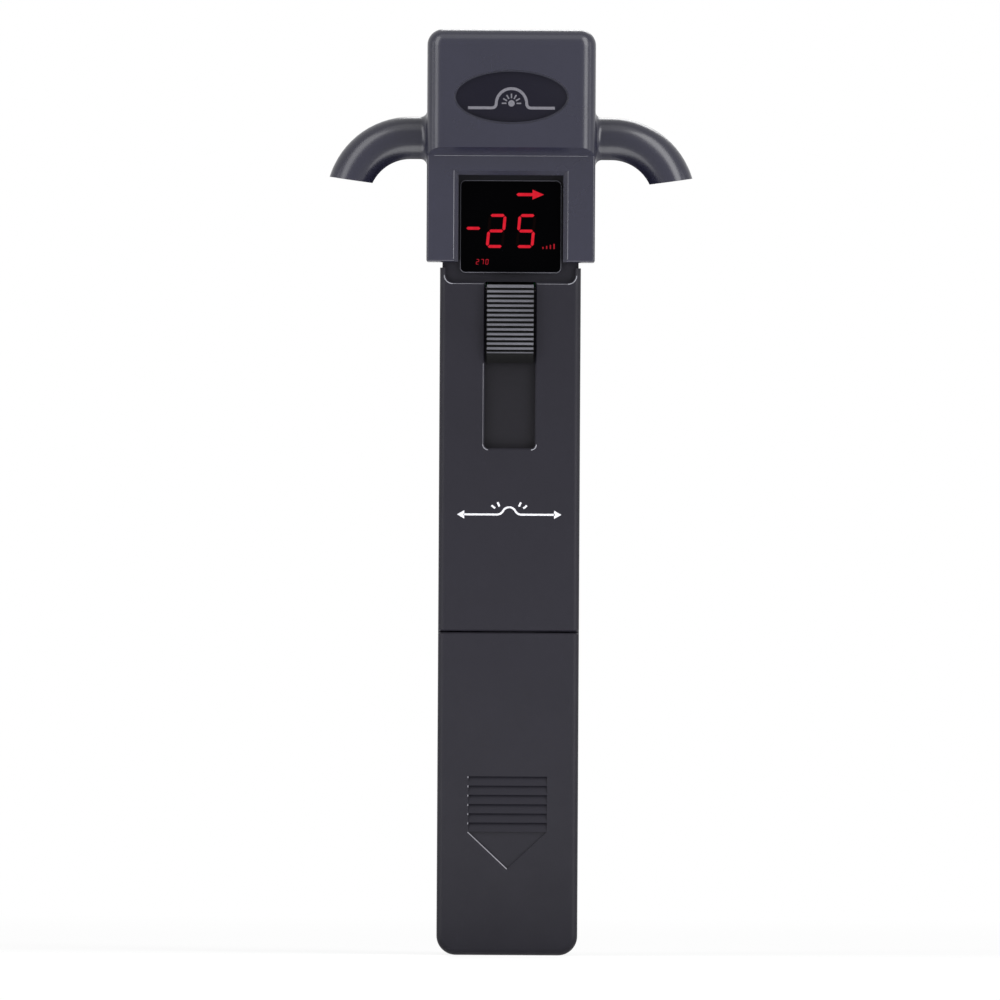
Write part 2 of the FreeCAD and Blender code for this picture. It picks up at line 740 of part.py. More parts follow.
def rear_housing():
    """Back half-shell with the partition, the screw bosses, the neck and the hooked head."""
    body = new_body("rear_housing")
    shell = [("-half_width", "0"), ("half_width", "0"), ("half_width", "shoulder_height"),
             ("neck_half", "shoulder_height"), ("neck_half", "head_top"), ("-neck_half", "head_top"),
             ("-neck_half", "shoulder_height"), ("-half_width", "shoulder_height")]
    pad(body, "y", "split", "back", shell)
    cut(body, "y", "neck_back", "back", centred("half_width", "shoulder_height", "head_top"))
    soften(body, "corner_round", "y", x=["-half_width", "half_width"], z=["0"])
    dress(body, "Chamfer", straight_edges(body.Shape, "z", x=["-half_width", "half_width"], y=["split"]),
          Size="seam_bevel")
    soften(body, "back_round", "z", x=["-half_width", "half_width"], y=["back"])
    soften(body, "back_round", "z", x=["-neck_half", "neck_half"], y=["neck_back"])
    chambers = [centred("inner_half", "wall", "cover_foot"),
                centred("inner_half", "partition_top", "shoulder_height - wall")]
    cut(body, "y", "split", "inner_back", *chambers)
    cut(body, "y", "split", "neck_inner_back",
        centred("neck_inner_half", "shoulder_height - wall", "roof_foot"))
    cut(body, "y", "split", "slot_rear", centred("half_width", "slot_foot", "roof_foot"))
    pad(body, "y", "recess_floor", "split", centred("neck_half", "roof_foot", "head_top"))
    cut(body, "z", "roof_foot", "anvil_top",
        centred("neck_inner_half", "anvil_front - anvil_play", "neck_inner_back"))
    pad(body, "z", "cover_foot", "partition_top",
        centred("inner_half - door_play", "partition_front", "split"))
    pad_rings(body, "z", "partition_top", "partition_top + post_height", "spigot_radius", ("0", "fibre_y"))
    pad_rings(body, "y", "split", "inner_back", "case_boss_radius", *CASE_PLACES)
    cut_rings(body, "y", "case_seat", "back", "case_head_radius + screw_play", *CASE_PLACES)
    cut_rings(body, "y", "split", "case_seat", "case_hole_radius", *CASE_PLACES)
    pad_rings(body, "y", "board_rear", "inner_back", "board_boss_radius", *BOARD_PLACES)
    cut_rings(body, "y", "board_rear", "board_rear + small_screw_bite + screw_play",
              "small_hole_radius", *BOARD_PLACES)
    cut_rings(body, "z", "cover_foot", "partition_top", "lead_radius + door_play", *LEAD_PLACES)
    cut_rings(body, "z", "anvil_seat", "head_top", "small_head_radius + screw_play", *ANVIL_PLACES)
    cut_rings(body, "z", "anvil_top", "anvil_seat", "small_hole_radius", *ANVIL_PLACES)
    groove = [("split", "groove_foot"), ("groove_rear", "groove_foot"), ("groove_rear", "groove_top"),
              ("groove_front", "groove_top"), ("groove_front", "groove_top - door_travel"),
              ("split", "groove_top - door_travel")]
    for sign in SIDES:
        cut(body, "x", *sided(sign, "inner_half", "nub_out + door_play"), groove)
    return body


def bevel_seams(body, level):
    """Bevel the outer edges of a shell at its parting plane and at the level of its end."""
    sides = ["-half_width", "half_width"]
    edges = straight_edges(body.Shape, "z", x=sides, y=["split"])
    edges += straight_edges(body.Shape, "x", y=["front"], z=[level])
    dress(body, "Chamfer", edges, Size="seam_bevel")


def front_cover():
    """Upper front half-shell with the recess, the slider's track and the guide ribs."""
    body = new_body("front_cover")
    shell = [("-half_width", "cover_foot"), ("half_width", "cover_foot"), ("half_width", "shoulder_height"),
             ("neck_half", "shoulder_height"), ("neck_half", "panel_top"), ("-neck_half", "panel_top"),
             ("-neck_half", "shoulder_height"), ("-half_width", "shoulder_height")]
    pad(body, "y", "front", "split", shell)
    cut(body, "y", "front", "recess_floor", centred("half_width", "shoulder_height", "panel_top"))
    soften(body, "edge_round", "z", x=["-half_width", "half_width"], y=["front"])
    bevel_seams(body, "cover_foot")
    cut_rimmed(body, "front", "recess_floor", "rim_bevel",
               tray_outline("recess_half", "recess_foot", "shoulder_height", "recess_round"))
    cut(body, "y", "inner_front", "split", centred("inner_half", "cover_foot", "chamber_top"))
    cut(body, "y", "panel_inner", "split",
        centred("neck_inner_half", "chamber_top", "panel_top - panel_wall"))
    cut_rimmed(body, "front", "panel_inner", "rim_bevel",
               tray_outline("track_half", "track_foot", "track_top", "track_round"))
    cut(body, "y", "recess_floor", "panel_inner", centred("opening_half", "opening_foot", "opening_top"))
    for sign in SIDES:
        rib = box_outline(*sided(sign, "guide_rib_in", "guide_half"), "guide_foot", "guide_top")
        pad(body, "y", "inner_front", "guide_front", rib)
    pad_rings(body, "y", "inner_front", "guide_front", "small_head_radius", *GUIDE_PLACES)
    cut_rings(body, "y", "guide_front - small_screw_bite", "guide_front", "small_hole_radius", *GUIDE_PLACES)
    pad_rings(body, "y", "inner_front", "split", "case_post_radius", *CASE_PLACES)
    cut_rings(body, "y", "case_tip - screw_play", "split", "case_hole_radius", *CASE_PLACES)
    pad_rings(body, "y", "panel_inner", "display_board_front", "display_post_radius", *POST_PLACES)
    return body


def battery_door():
    """Lower front shell with the stepped grip and arrow, side rails, a latch tongue and battery ribs."""
    body = new_body("battery_door")
    pad(body, "y", "front", "split", centred("half_width", "0", "door_height"))
    soften(body, "corner_round", "y", x=["-half_width", "half_width"], z=["0"])
    soften(body, "edge_round", "z", x=["-half_width", "half_width"], y=["front"])
    bevel_seams(body, "door_height")
    cut(body, "y", "inner_front", "split", centred("inner_half", "wall", "door_height"))
    arrow = [("-grip_half", "arrow_top"), ("0", "arrow_top - arrow_height"), ("grip_half", "arrow_top")]
    cut(body, "y", "front", "front + arrow_depth", arrow)
    for index in range(SIZES["grip_count"]):
        foot, top = (f"arrow_top + grip_pitch * {index + end}" for end in (0, 1))
        step = [("front - grip_depth", foot), ("front", foot), ("front + grip_depth", top),
                ("front - grip_depth", top)]
        cut(body, "x", "-grip_half", "grip_half", step)
    rail = (("inner_half", "split - rail_reach", "split"), ("rail_out", "split", "rail_tip"),
            ("nub_out", "nub_front", "rail_tip"))
    for sign in SIDES:
        for reach, front, rear in rail:
            section = box_outline(*sided(sign, "rail_in", reach), front, rear)
            pad(body, "z", "rail_foot", "rail_top", section)
    latch = [("inner_front", "latch_foot"), ("latch_back", "latch_foot"), ("latch_back", "latch_top"),
             ("latch_front", "latch_top"), ("latch_front", "door_height"), ("inner_front", "door_height")]
    pad(body, "x", "-latch_width / 2", "latch_width / 2", latch)
    ribs = [box_outline(*sided(sign, "door_rib_spacing / 2 - door_rib_thick", "door_rib_spacing / 2"), "wall",
                        "door_height - door_rib_drop") for sign in SIDES]
    pad(body, "y", "inner_front", "battery_front - door_play", *ribs)
    return body


def light_hood():
    """Moulded hood with a raised brow, a notch for the read-out, an oval dish and two slit horns."""
    body = new_body("light_hood")
    pad(body, "x", "-hood_half", "hood_half", box_outline("brow_front", "hood_back", "hood_foot", "hood_top"))
    sides, ends = ["-hood_half", "hood_half"], ["brow_front", "hood_back"]
    rounded = straight_edges(body.Shape, "z", x=sides, y=ends)
    rounded += straight_edges(body.Shape, "x", y=ends, z=["hood_top"])
    rounded += straight_edges(body.Shape, "y", x=sides, z=["hood_top"])
    dress(body, "Fillet", rounded, Radius="hood_round")
    below_brow = [("brow_front", "hood_foot"), ("hood_front", "hood_foot"), ("hood_front", "brow_foot"),
                  ("brow_front", "brow_foot + brow_slope")]
    cut(body, "x", "-hood_half", "hood_half", below_brow)
    soften(body, "frame_round", "z", x=["-frame_half", "frame_half"], y=["hood_front"])
    soften(body, "lip_round", "x", y=["hood_front", "hood_back"], z=["hood_foot"])
    for sign in SIDES:
        stub = sided(sign, "hood_half - hood_wall / 2", "horn_x")
        pad_rings(body, "x", *stub, "horn_radius", ("fibre_y", "horn_z"))
        horn_bend(body, "AdditiveTorus", sign, "horn_radius")
        cut(body, "y", "fibre_y - horn_radius", "fibre_y + horn_radius", horn_mouth_outline(sign))
    flares = arc_edges(body.Shape, "horn_radius", x=sides)
    dress(body, "Fillet", flares, Radius="horn_flare")
    cavity = [("hood_inner_back", "hood_foot"), ("hood_inner_front", "hood_foot"),
              ("hood_inner_front", "brow_inner_foot"), ("brow_inner_front", "brow_inner_foot"),
              ("brow_inner_front", "head_top"), ("hood_inner_back", "head_top")]
    cut(body, "x", "-hood_inner_half", "hood_inner_half", cavity)
    for sign in SIDES:
        stub = sided(sign, "hood_inner_half - hood_play", "horn_x")
        cut_rings(body, "x", *stub, "horn_bore", ("fibre_y", "horn_z"))
        horn_bend(body, "SubtractiveTorus", sign, "horn_bore")
        cut(body, "y", "fibre_y - horn_slit / 2", "fibre_y + horn_slit / 2", horn_slit_outline(sign))
    cut_rimmed(body, "hood_front", "hood_inner_front", "notch_bevel",
               centred("notch_half", "hood_foot", "notch_top"))
    extrude(body, "y", "brow_front", "brow_front + oval_depth",
            lambda sketch: oval(sketch, "oval_z", "oval_width", "oval_height"), True)
    rims = [f"Edge{index}" for index, edge in enumerate(body.Shape.Edges, start=1)
            if not edge.Degenerated and edge.Curve.TypeId == "Part::GeomEllipse"
            and abs(edge.Curve.Center.y - number("brow_front")) < TOLERANCE]
    dress(body, "Chamfer", rims, Size="oval_bevel")
    return body


def horn_bend(body, kind, sign, radius):
    """Add or bore out the bend of one horn, which starts over its centre and turns outwards and down."""
    side = int(sign)
    ways = [FreeCAD.Vector(*way) for way in ((0, 0, 1), (side, 0, 0), (0, side, 0))]
    turn = FreeCAD.Rotation(*ways, "XYZ")
    place = (f"{sign} * horn_x", "fibre_y", "horn_centre_z")
    primitive(body, kind, turn, place, Radius1="horn_bend", Radius2=radius, Angle3="horn_turn")


def horn_mouth_outline(sign):
    """Outline what is trimmed off one horn, so that its mouth faces almost straight down."""
    outline = [("mouth_x - mouth_reach", "mouth_z - mouth_drop"),
               ("mouth_x + mouth_reach", "mouth_z + mouth_drop"),
               ("mouth_x + mouth_reach", "hood_foot"), ("mouth_x - mouth_reach", "hood_foot")]
    return [(f"{sign} * ({across})", height) for across, height in outline]


def horn_slit_outline(sign):
    """Outline the slit through a side of the hood and along the inside of its horn."""
    side = -int(sign)
    outline = [("hood_inner_half", "hood_foot"), ("horn_x", "hood_foot"), ("horn_x", "horn_centre_z"),
               ("horn_end_x", "horn_centre_z"), ("horn_end_x", "horn_end_z"),
               ("horn_x", "horn_z", "horn_bend", side), ("hood_inner_half", "horn_z")]
    return [(f"{sign} * ({corner[0]})", *corner[1:]) for corner in outline]


def display_window():
    """Dark clear window: an island in the recess with a plug through the panel."""
    body = new_body("display_window")
    pad(body, "y", "window_front", "recess_floor",
        centred("window_half", "window_foot", "window_top"))
    soften(body, "window_round", "y", x=["-window_half", "window_half"], z=["window_foot", "window_top"])
    soften(body, "window_edge", "x", y=["window_front"], z=["window_foot"])
    pad(body, "y", "recess_floor", "panel_inner",
        centred("opening_half - window_play", "opening_foot + window_play", "opening_top - window_play"))
    return body


def display_module():
    """Block of light-emitting digits behind the window."""
    body = new_body("display_module")
    pad(body, "y", "panel_inner", "display_board_front",
        centred("opening_half", "opening_foot", "opening_top"))
    return body


def display_board():
    """Small board behind the digits, against the four posts of the cover."""
    body = new_body("display_board")
    pad(body, "y", "display_board_front", "display_board_back",
        centred("display_board_half", "window_foot", "window_top"))
    return body


def thumb_slider():
    """Thumb piece with cross ribs and a ramp at its foot."""
    body = new_body("thumb_slider")
    profile = [("shutter_front", "thumb_foot"), ("front", "thumb_foot"), ("thumb_face", "ramp_top"),
               ("thumb_face", "thumb_top"), ("shutter_front", "thumb_top")]
    pad(body, "x", "-thumb_half", "thumb_half", profile)
    soften(body, "thumb_round", "z", x=["-thumb_half", "thumb_half"], y=["thumb_face"])
    grooves = []
    for index in range(SIZES["rib_count"]):
        foot = f"ramp_top + rib_pitch * {index}"
        grooves.append(box_outline("thumb_face", "thumb_face + rib_depth", foot, f"{foot} + rib_groove"))
    cut(body, "x", "-thumb_half", "thumb_half", *grooves)
    cut_rings(body, "y", "front - screw_play", "shutter_front", "small_hole_radius", THUMB_PLACE)
    return body


def slide_carriage():
    """Shutter plate behind the track, with an arm back to the bar that carries the adapter."""
    body = new_body("slide_carriage")
    pad(body, "y", "shutter_front", "shutter_back",
        centred("shutter_half", "shutter_foot", "shutter_top"))
    pad(body, "y", "shutter_back", "bar_front", centred("web_width / 2", "web_foot", "web_top"))
    pad(body, "y", "bar_front", "bar_rear", centred("bar_width / 2", "bar_foot", "adapter_foot"))
    pad(body, "z", "adapter_foot", "adapter_foot + tongue_height",
        centred("tongue_width / 2", "tongue_front", "tongue_rear"))
    pad_rings(body, "z", "bar_foot - spigot_height", "bar_foot", "spigot_radius", ("0", "fibre_y"))
    cut_rings(body, "y", "shutter_front", "shutter_back", "small_hole_radius", THUMB_PLACE)
    return body


def guide_plate():
    """Forked plate that keeps the shutter in its channel."""
    body = new_body("guide_plate")
    fork = [("-guide_half", "guide_foot"), ("guide_half", "guide_foot"), ("guide_half", "guide_top"),
            ("guide_slot_half", "guide_top"), ("guide_slot_half", "guide_slot_foot"),
            ("-guide_slot_half", "guide_slot_foot"), ("-guide_slot_half", "guide_top"),
            ("-guide_half", "guide_top")]
    pad(body, "y", "guide_front", "guide_back", fork)
    cut_rings(body, "y", "guide_front", "guide_back", "small_hole_radius", *GUIDE_PLACES)
    return body


def hump_outline(half, level):
    """List the corners of a bend profile from left to right: shoulder, flank, crown, flank, shoulder."""
    return [(f"-({half})", level), ("-hump_half", level),
            ("-bend_x", f"{level} + bend_rise", "hump_flank_radius", -1),
            ("bend_x", f"{level} + bend_rise", "hump_crown_radius", 1),
            ("hump_half", level, "hump_flank_radius", -1), (half, level)]


def fibre_adapter():
    """Saddle with the hump that the fibre bends over, its groove and its socket."""
    body = new_body("fibre_adapter")
    saddle = [*hump_outline("adapter_half", "fibre_level"), ("adapter_half", "adapter_foot"),
              ("-adapter_half", "adapter_foot")]
    pad(body, "y", "adapter_front", "adapter_rear", saddle)
    groove = [*hump_outline("adapter_half", "fibre_level - adapter_groove"), ("adapter_half", "hump_top"),
              ("-adapter_half", "hump_top")]
    cut(body, "y", "fibre_y - adapter_groove", "fibre_y + adapter_groove", groove)
    cut(body, "z", "adapter_foot", "adapter_foot + tongue_height + slide_play",
        centred("tongue_width / 2 + slide_play", "tongue_front - slide_play", "tongue_rear + slide_play"))
    return body


def diode_turn(sign):
    """Lean outwards, square to the bend's flank."""
    return FreeCAD.Rotation(FreeCAD.Vector(0, int(sign), 0), number("diode_tilt"))


def bend_anvil():
    """Hollow counterpart of the hump, bored for the two photodiodes."""
    body = new_body("bend_anvil")
    block = [*hump_outline("anvil_half", "anvil_shoulder"), ("anvil_half", "anvil_top"),
             ("-anvil_half", "anvil_top")]
    pad(body, "y", "anvil_front", "anvil_rear", block)
    bores = (("diode_x", "diode_z", "diode_bore_radius", "anvil_half"),
             ("sight_x", "sight_z", "aperture_radius", "sight_length"))
    for sign in SIDES:
        for across, level, radius, length in bores:
            place = (f"{sign} * {across}", "fibre_y", level)
            bore = primitive(body, "SubtractiveCylinder", diode_turn(sign), place, Radius=radius,
                             Height=length)
            bind(bore, Placement__Rotation__Angle="diode_tilt")
    cut_rings(body, "z", "anvil_screw_tip - screw_play", "anvil_top", "small_hole_radius", *ANVIL_PLACES)
    return body


def photodiode(label, sign):
    """Round metal can with a flange and two pins, seated in its bore of the anvil."""
    body = new_body(label)
    pad_rings(body, "z", "0", "diode_length", "diode_radius", ("0", "0"))
    pad_rings(body, "z", "diode_length - diode_flange", "diode_length", "diode_radius + diode_flange",
              ("0", "0"))
    pad_rings(body, "z", "diode_length", "diode_length + diode_pin_length", "diode_pin_radius",
              ("-diode_radius / 2", "0"), ("diode_radius / 2", "0"))
    body.Placement = FreeCAD.Placement(FreeCAD.Vector(), diode_turn(sign))
    bind(body, Placement__Base__x=f"{sign} * diode_x", Placement__Base__y="fibre_y",
         Placement__Base__z="diode_z", Placement__Rotation__Angle="diode_tilt")
    return body


def return_spring():
    """Compression spring of square wire with flat closed ends."""
    body = new_body("return_spring")
    inner, outer = "spring_radius - spring_wire / 2", "spring_radius + spring_wire / 2"
    for foot in ("0", "spring_length - spring_wire"):
        pad_rings(body, "z", foot, f"{foot} + spring_wire", outer, ("0", "0"))
        cut_rings(body, "z", foot, f"{foot} + spring_wire", inner, ("0", "0"))
    sketch = new_sketch(body, "y", "0")
    trace(sketch, box_outline(inner, outer, "0", "spring_wire"))
    coil = body.newObject("PartDesign::AdditiveHelix", "coil")
    coil.Profile = sketch
    coil.ReferenceAxis = (sketch, ["V_Axis"])
    coil.Mode = "height-turns-angle"
    bind(coil, Height="spring_length - spring_wire", Turns="spring_turns")
    bind(body, Placement__Base__y="fibre_y", Placement__Base__z="partition_top")
    doc.recompute()
    return body


def main_board():
    """Main board on four bosses of the rear housing."""
    body = new_body("main_board")
    pad(body, "y", "board_front", "board_rear", centred("board_half", "board_foot", "board_top"))
    cut_rings(body, "y", "board_front", "board_rear", "small_hole_radius", *BOARD_PLACES)
    return body


def microcontroller():
    """Square chip on the main board."""
    body = new_body("microcontroller")
    pad(body, "y", "board_front - chip_thick", "board_front",
        centred("chip_side / 2", "chip_z - chip_side / 2", "chip_z + chip_side / 2"))
    return body


def amplifier_shield():
    """Drawn metal can over the detector amplifier."""
    body = new_body("amplifier_shield")
    half, foot, top = "shield_width / 2", "shield_z - shield_height / 2", "shield_z + shield_height / 2"
    pad(body, "y", "board_front - shield_depth", "board_front", centred(half, foot, top))
    soften(body, "shield_round", "y", x=[f"-{half}", half], z=[foot, top])
    return body


def board_passives():
    """Two rows of small chips between the microcontroller and the shield."""
    chips = []
    for column in SIDES:
        for index in range(SIZES["passive_count"]):
            chip = doc.addObject("Part::Box", "chip")
            rise = f"passive_row * ({index} - (passive_count - 1) / 2)"
            bind(chip, Length="passive_length", Width="passive_thick", Height="passive_width",
                 Placement__Base__x=f"{column} * passive_column / 2 - passive_length / 2",
                 Placement__Base__y="board_front - passive_thick",
                 Placement__Base__z=f"passive_z + {rise} - passive_width / 2")
            chips.append(chip)
    group = doc.addObject("Part::Compound", "board_passives")
    group.Label = "board_passives"
    group.Links = chips
    return group


def display_ribbon():
    """Flat cable beside the bar, from the back of the display board to the front of the main board."""
    body = new_body("display_ribbon")
    strip = [("display_board_back", "ribbon_top"), ("display_board_back", "window_foot"),
             ("board_front - flex_thick", "ribbon_low + ribbon_lap"),
             ("board_front - flex_thick", "ribbon_low"), ("board_front", "ribbon_low"),
             ("board_front", "ribbon_low + ribbon_lap + flex_thick"),
             ("display_board_back + flex_thick", "window_foot + flex_thick"),
             ("display_board_back + flex_thick", "ribbon_top")]
    pad(body, "x", "ribbon_in", "ribbon_out", strip)
    return body


def sensor_flex():
    """Flat cable up the back of the neck, from the main board to the anvil."""
    body = new_body("sensor_flex")
    strip = [("board_front", "board_top - flex_lap"), ("board_front", "flex_top + flex_thick"),
             ("anvil_rear", "flex_top + flex_thick"), ("anvil_rear", "flex_top"),
             ("board_front - flex_thick", "flex_top"), ("board_front - flex_thick", "board_top - flex_lap")]
    pad(body, "x", "-flex_width / 2", "flex_width / 2", strip)
    return body


def battery():
    """Block battery with a stud and a socket terminal."""
    body = new_body("battery")
    half = "battery_width / 2"
    pad(body, "z", "wall", "battery_top", centred(half, "battery_front", "battery_rear"))
    soften(body, "battery_round", "z", x=[f"-{half}", half], y=["battery_front", "battery_rear"])
    pad_rings(body, "z", "battery_top", "clip_foot", "stud_radius", ("-terminal_spacing / 2", "battery_y"))
    pad_rings(body, "z", "battery_top", "clip_foot", "socket_radius", ("terminal_spacing / 2", "battery_y"))
    cut_rings(body, "z", "battery_top", "clip_foot", "socket_bore", ("terminal_spacing / 2", "battery_y"))
    return body


def clip_contacts():
    """Snap contacts of the clip: a socket over the battery's stud and a stud in its socket."""
    parts = []
    for radius, sign in (("socket_radius", "-1"), ("stud_radius", "1")):
        turned = doc.addObject("Part::Cylinder", "turned")
        bind(turned, Radius=radius, Height="terminal_height",
             Placement__Base__x=f"{sign} * terminal_spacing / 2", Placement__Base__y="battery_y",
             Placement__Base__z="battery_top")
        parts.append(turned)
    bore = doc.addObject("Part::Cylinder", "bore")
    bind(bore, Radius="socket_bore", Height="terminal_height", Placement__Base__x="-terminal_spacing / 2",
         Placement__Base__y="battery_y", Placement__Base__z="battery_top")
    socket = doc.addObject("Part::Cut", "socket")
    socket.Base, socket.Tool = parts[0], bore
    group = doc.addObject("Part::Compound", "clip_contacts")
    group.Label = "clip_contacts"
    group.Links = [socket, parts[1]]
    return group


def battery_clip():
    """Moulded cap that carries the two snap contacts."""
    body = new_body("battery_clip")
    half, front, rear = "clip_width / 2", "battery_y - clip_depth / 2", "battery_y + clip_depth / 2"
    pad(body, "z", "clip_foot", "clip_top", centred(half, front, rear))
    soften(body, "battery_round", "z", x=[f"-{half}", half], y=[front, rear])
    return body


def battery_lead(label, sign):
    """Insulated wire from the clip, through the partition, to the foot of the main board."""
    body = new_body(label)
    spine = new_sketch(body, "x", f"{sign} * lead_x")
    trace(spine, [("battery_y", "clip_top"), ("battery_y", "lead_start"),
                  ("battery_y + lead_shift / 2", "lead_middle", "lead_bend", 1),
                  ("lead_y", "lead_end", "lead_bend", -1), ("lead_y", "lead_top")], closed=False)
    section = new_sketch(body, "z", "clip_top")
    ring(section, f"{sign} * lead_x", "battery_y", "lead_radius")
    doc.recompute()
    wire = body.newObject("PartDesign::AdditivePipe", "wire")
    wire.Profile = section
    wire.Spine = spine
    doc.recompute()
    return body


def fasteners():
    """Four groups of equal screws and the single screw of the thumb slider."""
    small = ("small_head_height", "small_head_radius", "small_shank_radius")
    return [
        screws("housing_screws", "y", -1, CASE_PLACES, "case_seat", "case_head_height", "case_head_radius",
               "case_shank_radius", "case_tip"),
        screws("board_screws", "y", 1, BOARD_PLACES, "board_front", *small, "board_rear + small_screw_bite"),
        screws("guide_screws", "y", -1, GUIDE_PLACES, "guide_back", *small,
               "guide_front - small_screw_bite + screw_play"),
        screws("thumb_screw", "y", -1, [THUMB_PLACE], "shutter_back", *small, "front"),
        screws("anvil_screws", "z", -1, ANVIL_PLACES, "anvil_seat", *small, "anvil_screw_tip"),
    ]


def main():
    """Build every piece, check it and write it out."""
    nodes = [
        rear_housing(), front_cover(), battery_door(), light_hood(),
        display_window(), display_module(), display_board(), display_ribbon(),
        thumb_slider(), slide_carriage(), guide_plate(), return_spring(),
        fibre_adapter(), bend_anvil(),
        photodiode("left_photodiode", "-1"), photodiode("right_photodiode", "1"),
        sensor_flex(), main_board(), microcontroller(), amplifier_shield(), board_passives(),
        battery(), battery_clip(), clip_contacts(),
        battery_lead("red_lead", "-1"), battery_lead("black_lead", "1"),
        *fasteners(),
    ]
    doc.recompute()
    for thing in doc.Objects:
        if "Invalid" in thing.State or "Error" in thing.State:
            raise RuntimeError(f"{thing.Label} failed: {thing.State}")
    os.makedirs("parts", exist_ok=True)
    for node in nodes:
        if node.Shape.isNull() or not node.Shape.isValid():
            raise RuntimeError(f"{node.Label} has no valid shape")
        node.Shape.exportStep(f"parts/{node.Label}.step")
        print(node.Label, len(node.Shape.Solids), round(node.Shape.Volume, 1), node.Shape.BoundBox)


main()
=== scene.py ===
"""Studio scene of a hand-held fibre identifier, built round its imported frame.

Sizes are metres in the frame's own axes: +Z up along the body, -Y out of the read-out, and the origin in the
middle of the base. Each sub-assembly is a class that builds its pieces and rides them on the frame's bodies.
"""
from __future__ import annotations

import json
import logging
import math
from dataclasses import dataclass
from enum import Enum
from typing import Sequence, Union

import bmesh
import bpy
from mathutils import Matrix, Vector

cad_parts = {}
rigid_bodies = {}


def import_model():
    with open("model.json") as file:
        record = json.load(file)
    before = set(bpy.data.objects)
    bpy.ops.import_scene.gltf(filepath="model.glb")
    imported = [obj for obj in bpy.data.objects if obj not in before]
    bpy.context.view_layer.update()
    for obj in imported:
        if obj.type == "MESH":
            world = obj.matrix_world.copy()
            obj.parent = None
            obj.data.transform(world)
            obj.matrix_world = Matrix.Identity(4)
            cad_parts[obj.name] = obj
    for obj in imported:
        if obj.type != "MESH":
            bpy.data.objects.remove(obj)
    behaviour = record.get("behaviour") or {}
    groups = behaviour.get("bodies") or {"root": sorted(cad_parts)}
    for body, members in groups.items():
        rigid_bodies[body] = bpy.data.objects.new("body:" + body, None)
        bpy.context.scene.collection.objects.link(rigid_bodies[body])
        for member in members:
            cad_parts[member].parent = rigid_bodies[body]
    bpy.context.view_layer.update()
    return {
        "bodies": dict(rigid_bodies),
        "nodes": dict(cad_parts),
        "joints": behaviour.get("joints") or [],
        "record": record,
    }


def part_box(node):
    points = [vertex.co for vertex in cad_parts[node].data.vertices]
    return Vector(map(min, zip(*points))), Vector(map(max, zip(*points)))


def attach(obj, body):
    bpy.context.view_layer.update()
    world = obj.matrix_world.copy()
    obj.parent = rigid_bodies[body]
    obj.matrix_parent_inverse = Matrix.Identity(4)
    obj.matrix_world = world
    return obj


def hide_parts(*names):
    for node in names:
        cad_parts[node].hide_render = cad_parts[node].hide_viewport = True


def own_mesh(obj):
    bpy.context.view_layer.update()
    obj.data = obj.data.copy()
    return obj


LOG = logging.getLogger("fibre_identifier")
MM = 0.001
QUARTER = math.pi / 2
SMOOTH_BELOW = math.radians(38)
MERGE_BELOW = 0.0005 * MM
FRONT = Vector((0.0, -1.0, 0.0))
WHITE = (1.0, 1.0, 1.0)
SIDES = (-1, 1)
TRIANGLE = 3
HEXAGON = 6

Colour = tuple[float, float, float]
Pair = tuple[float, float]
Triple = tuple[float, float, float]
Socket = bpy.types.NodeSocket
Paint = Union[Colour, Socket]


class Body(Enum):
    """Bodies of the frame that pieces ride on."""

    HOUSING = "housing"
    CARRIAGE = "carriage"
    HOOD = "hood"
    DOOR = "door"


class Slot(Enum):
    """Material slots of the record."""

    CASE = "case_plastic"
    HOOD = "hood_plastic"
    WINDOW = "window"
    BLACK = "black_plastic"
    BOARD = "board"
    FLEX = "flex"
    STEEL = "steel"
    DARK_STEEL = "dark_steel"
    CERAMIC = "ceramic"
    JACKET = "battery_jacket"
    RED = "red_insulation"


class Axis(Enum):
    """Directions that a screw's head or a coil points in."""

    BACK = (0.0, 1.0, 0.0)
    UP = (0.0, 0.0, 1.0)


def tint(red: float, green: float, blue: float) -> Colour:
    """Turns a display colour into the linear one that shaders use.

    Args:
        red: Red on a display, 0 to 255.
        green: Green on a display, 0 to 255.
        blue: Blue on a display, 0 to 255.

    Returns:
        The linear colour.
    """
    levels = (value / 255.0 for value in (red, green, blue))
    return tuple(((level + 0.055) / 1.055) ** 2.4 if level > 0.04045 else level / 12.92 for level in levels)


# Shader nodes


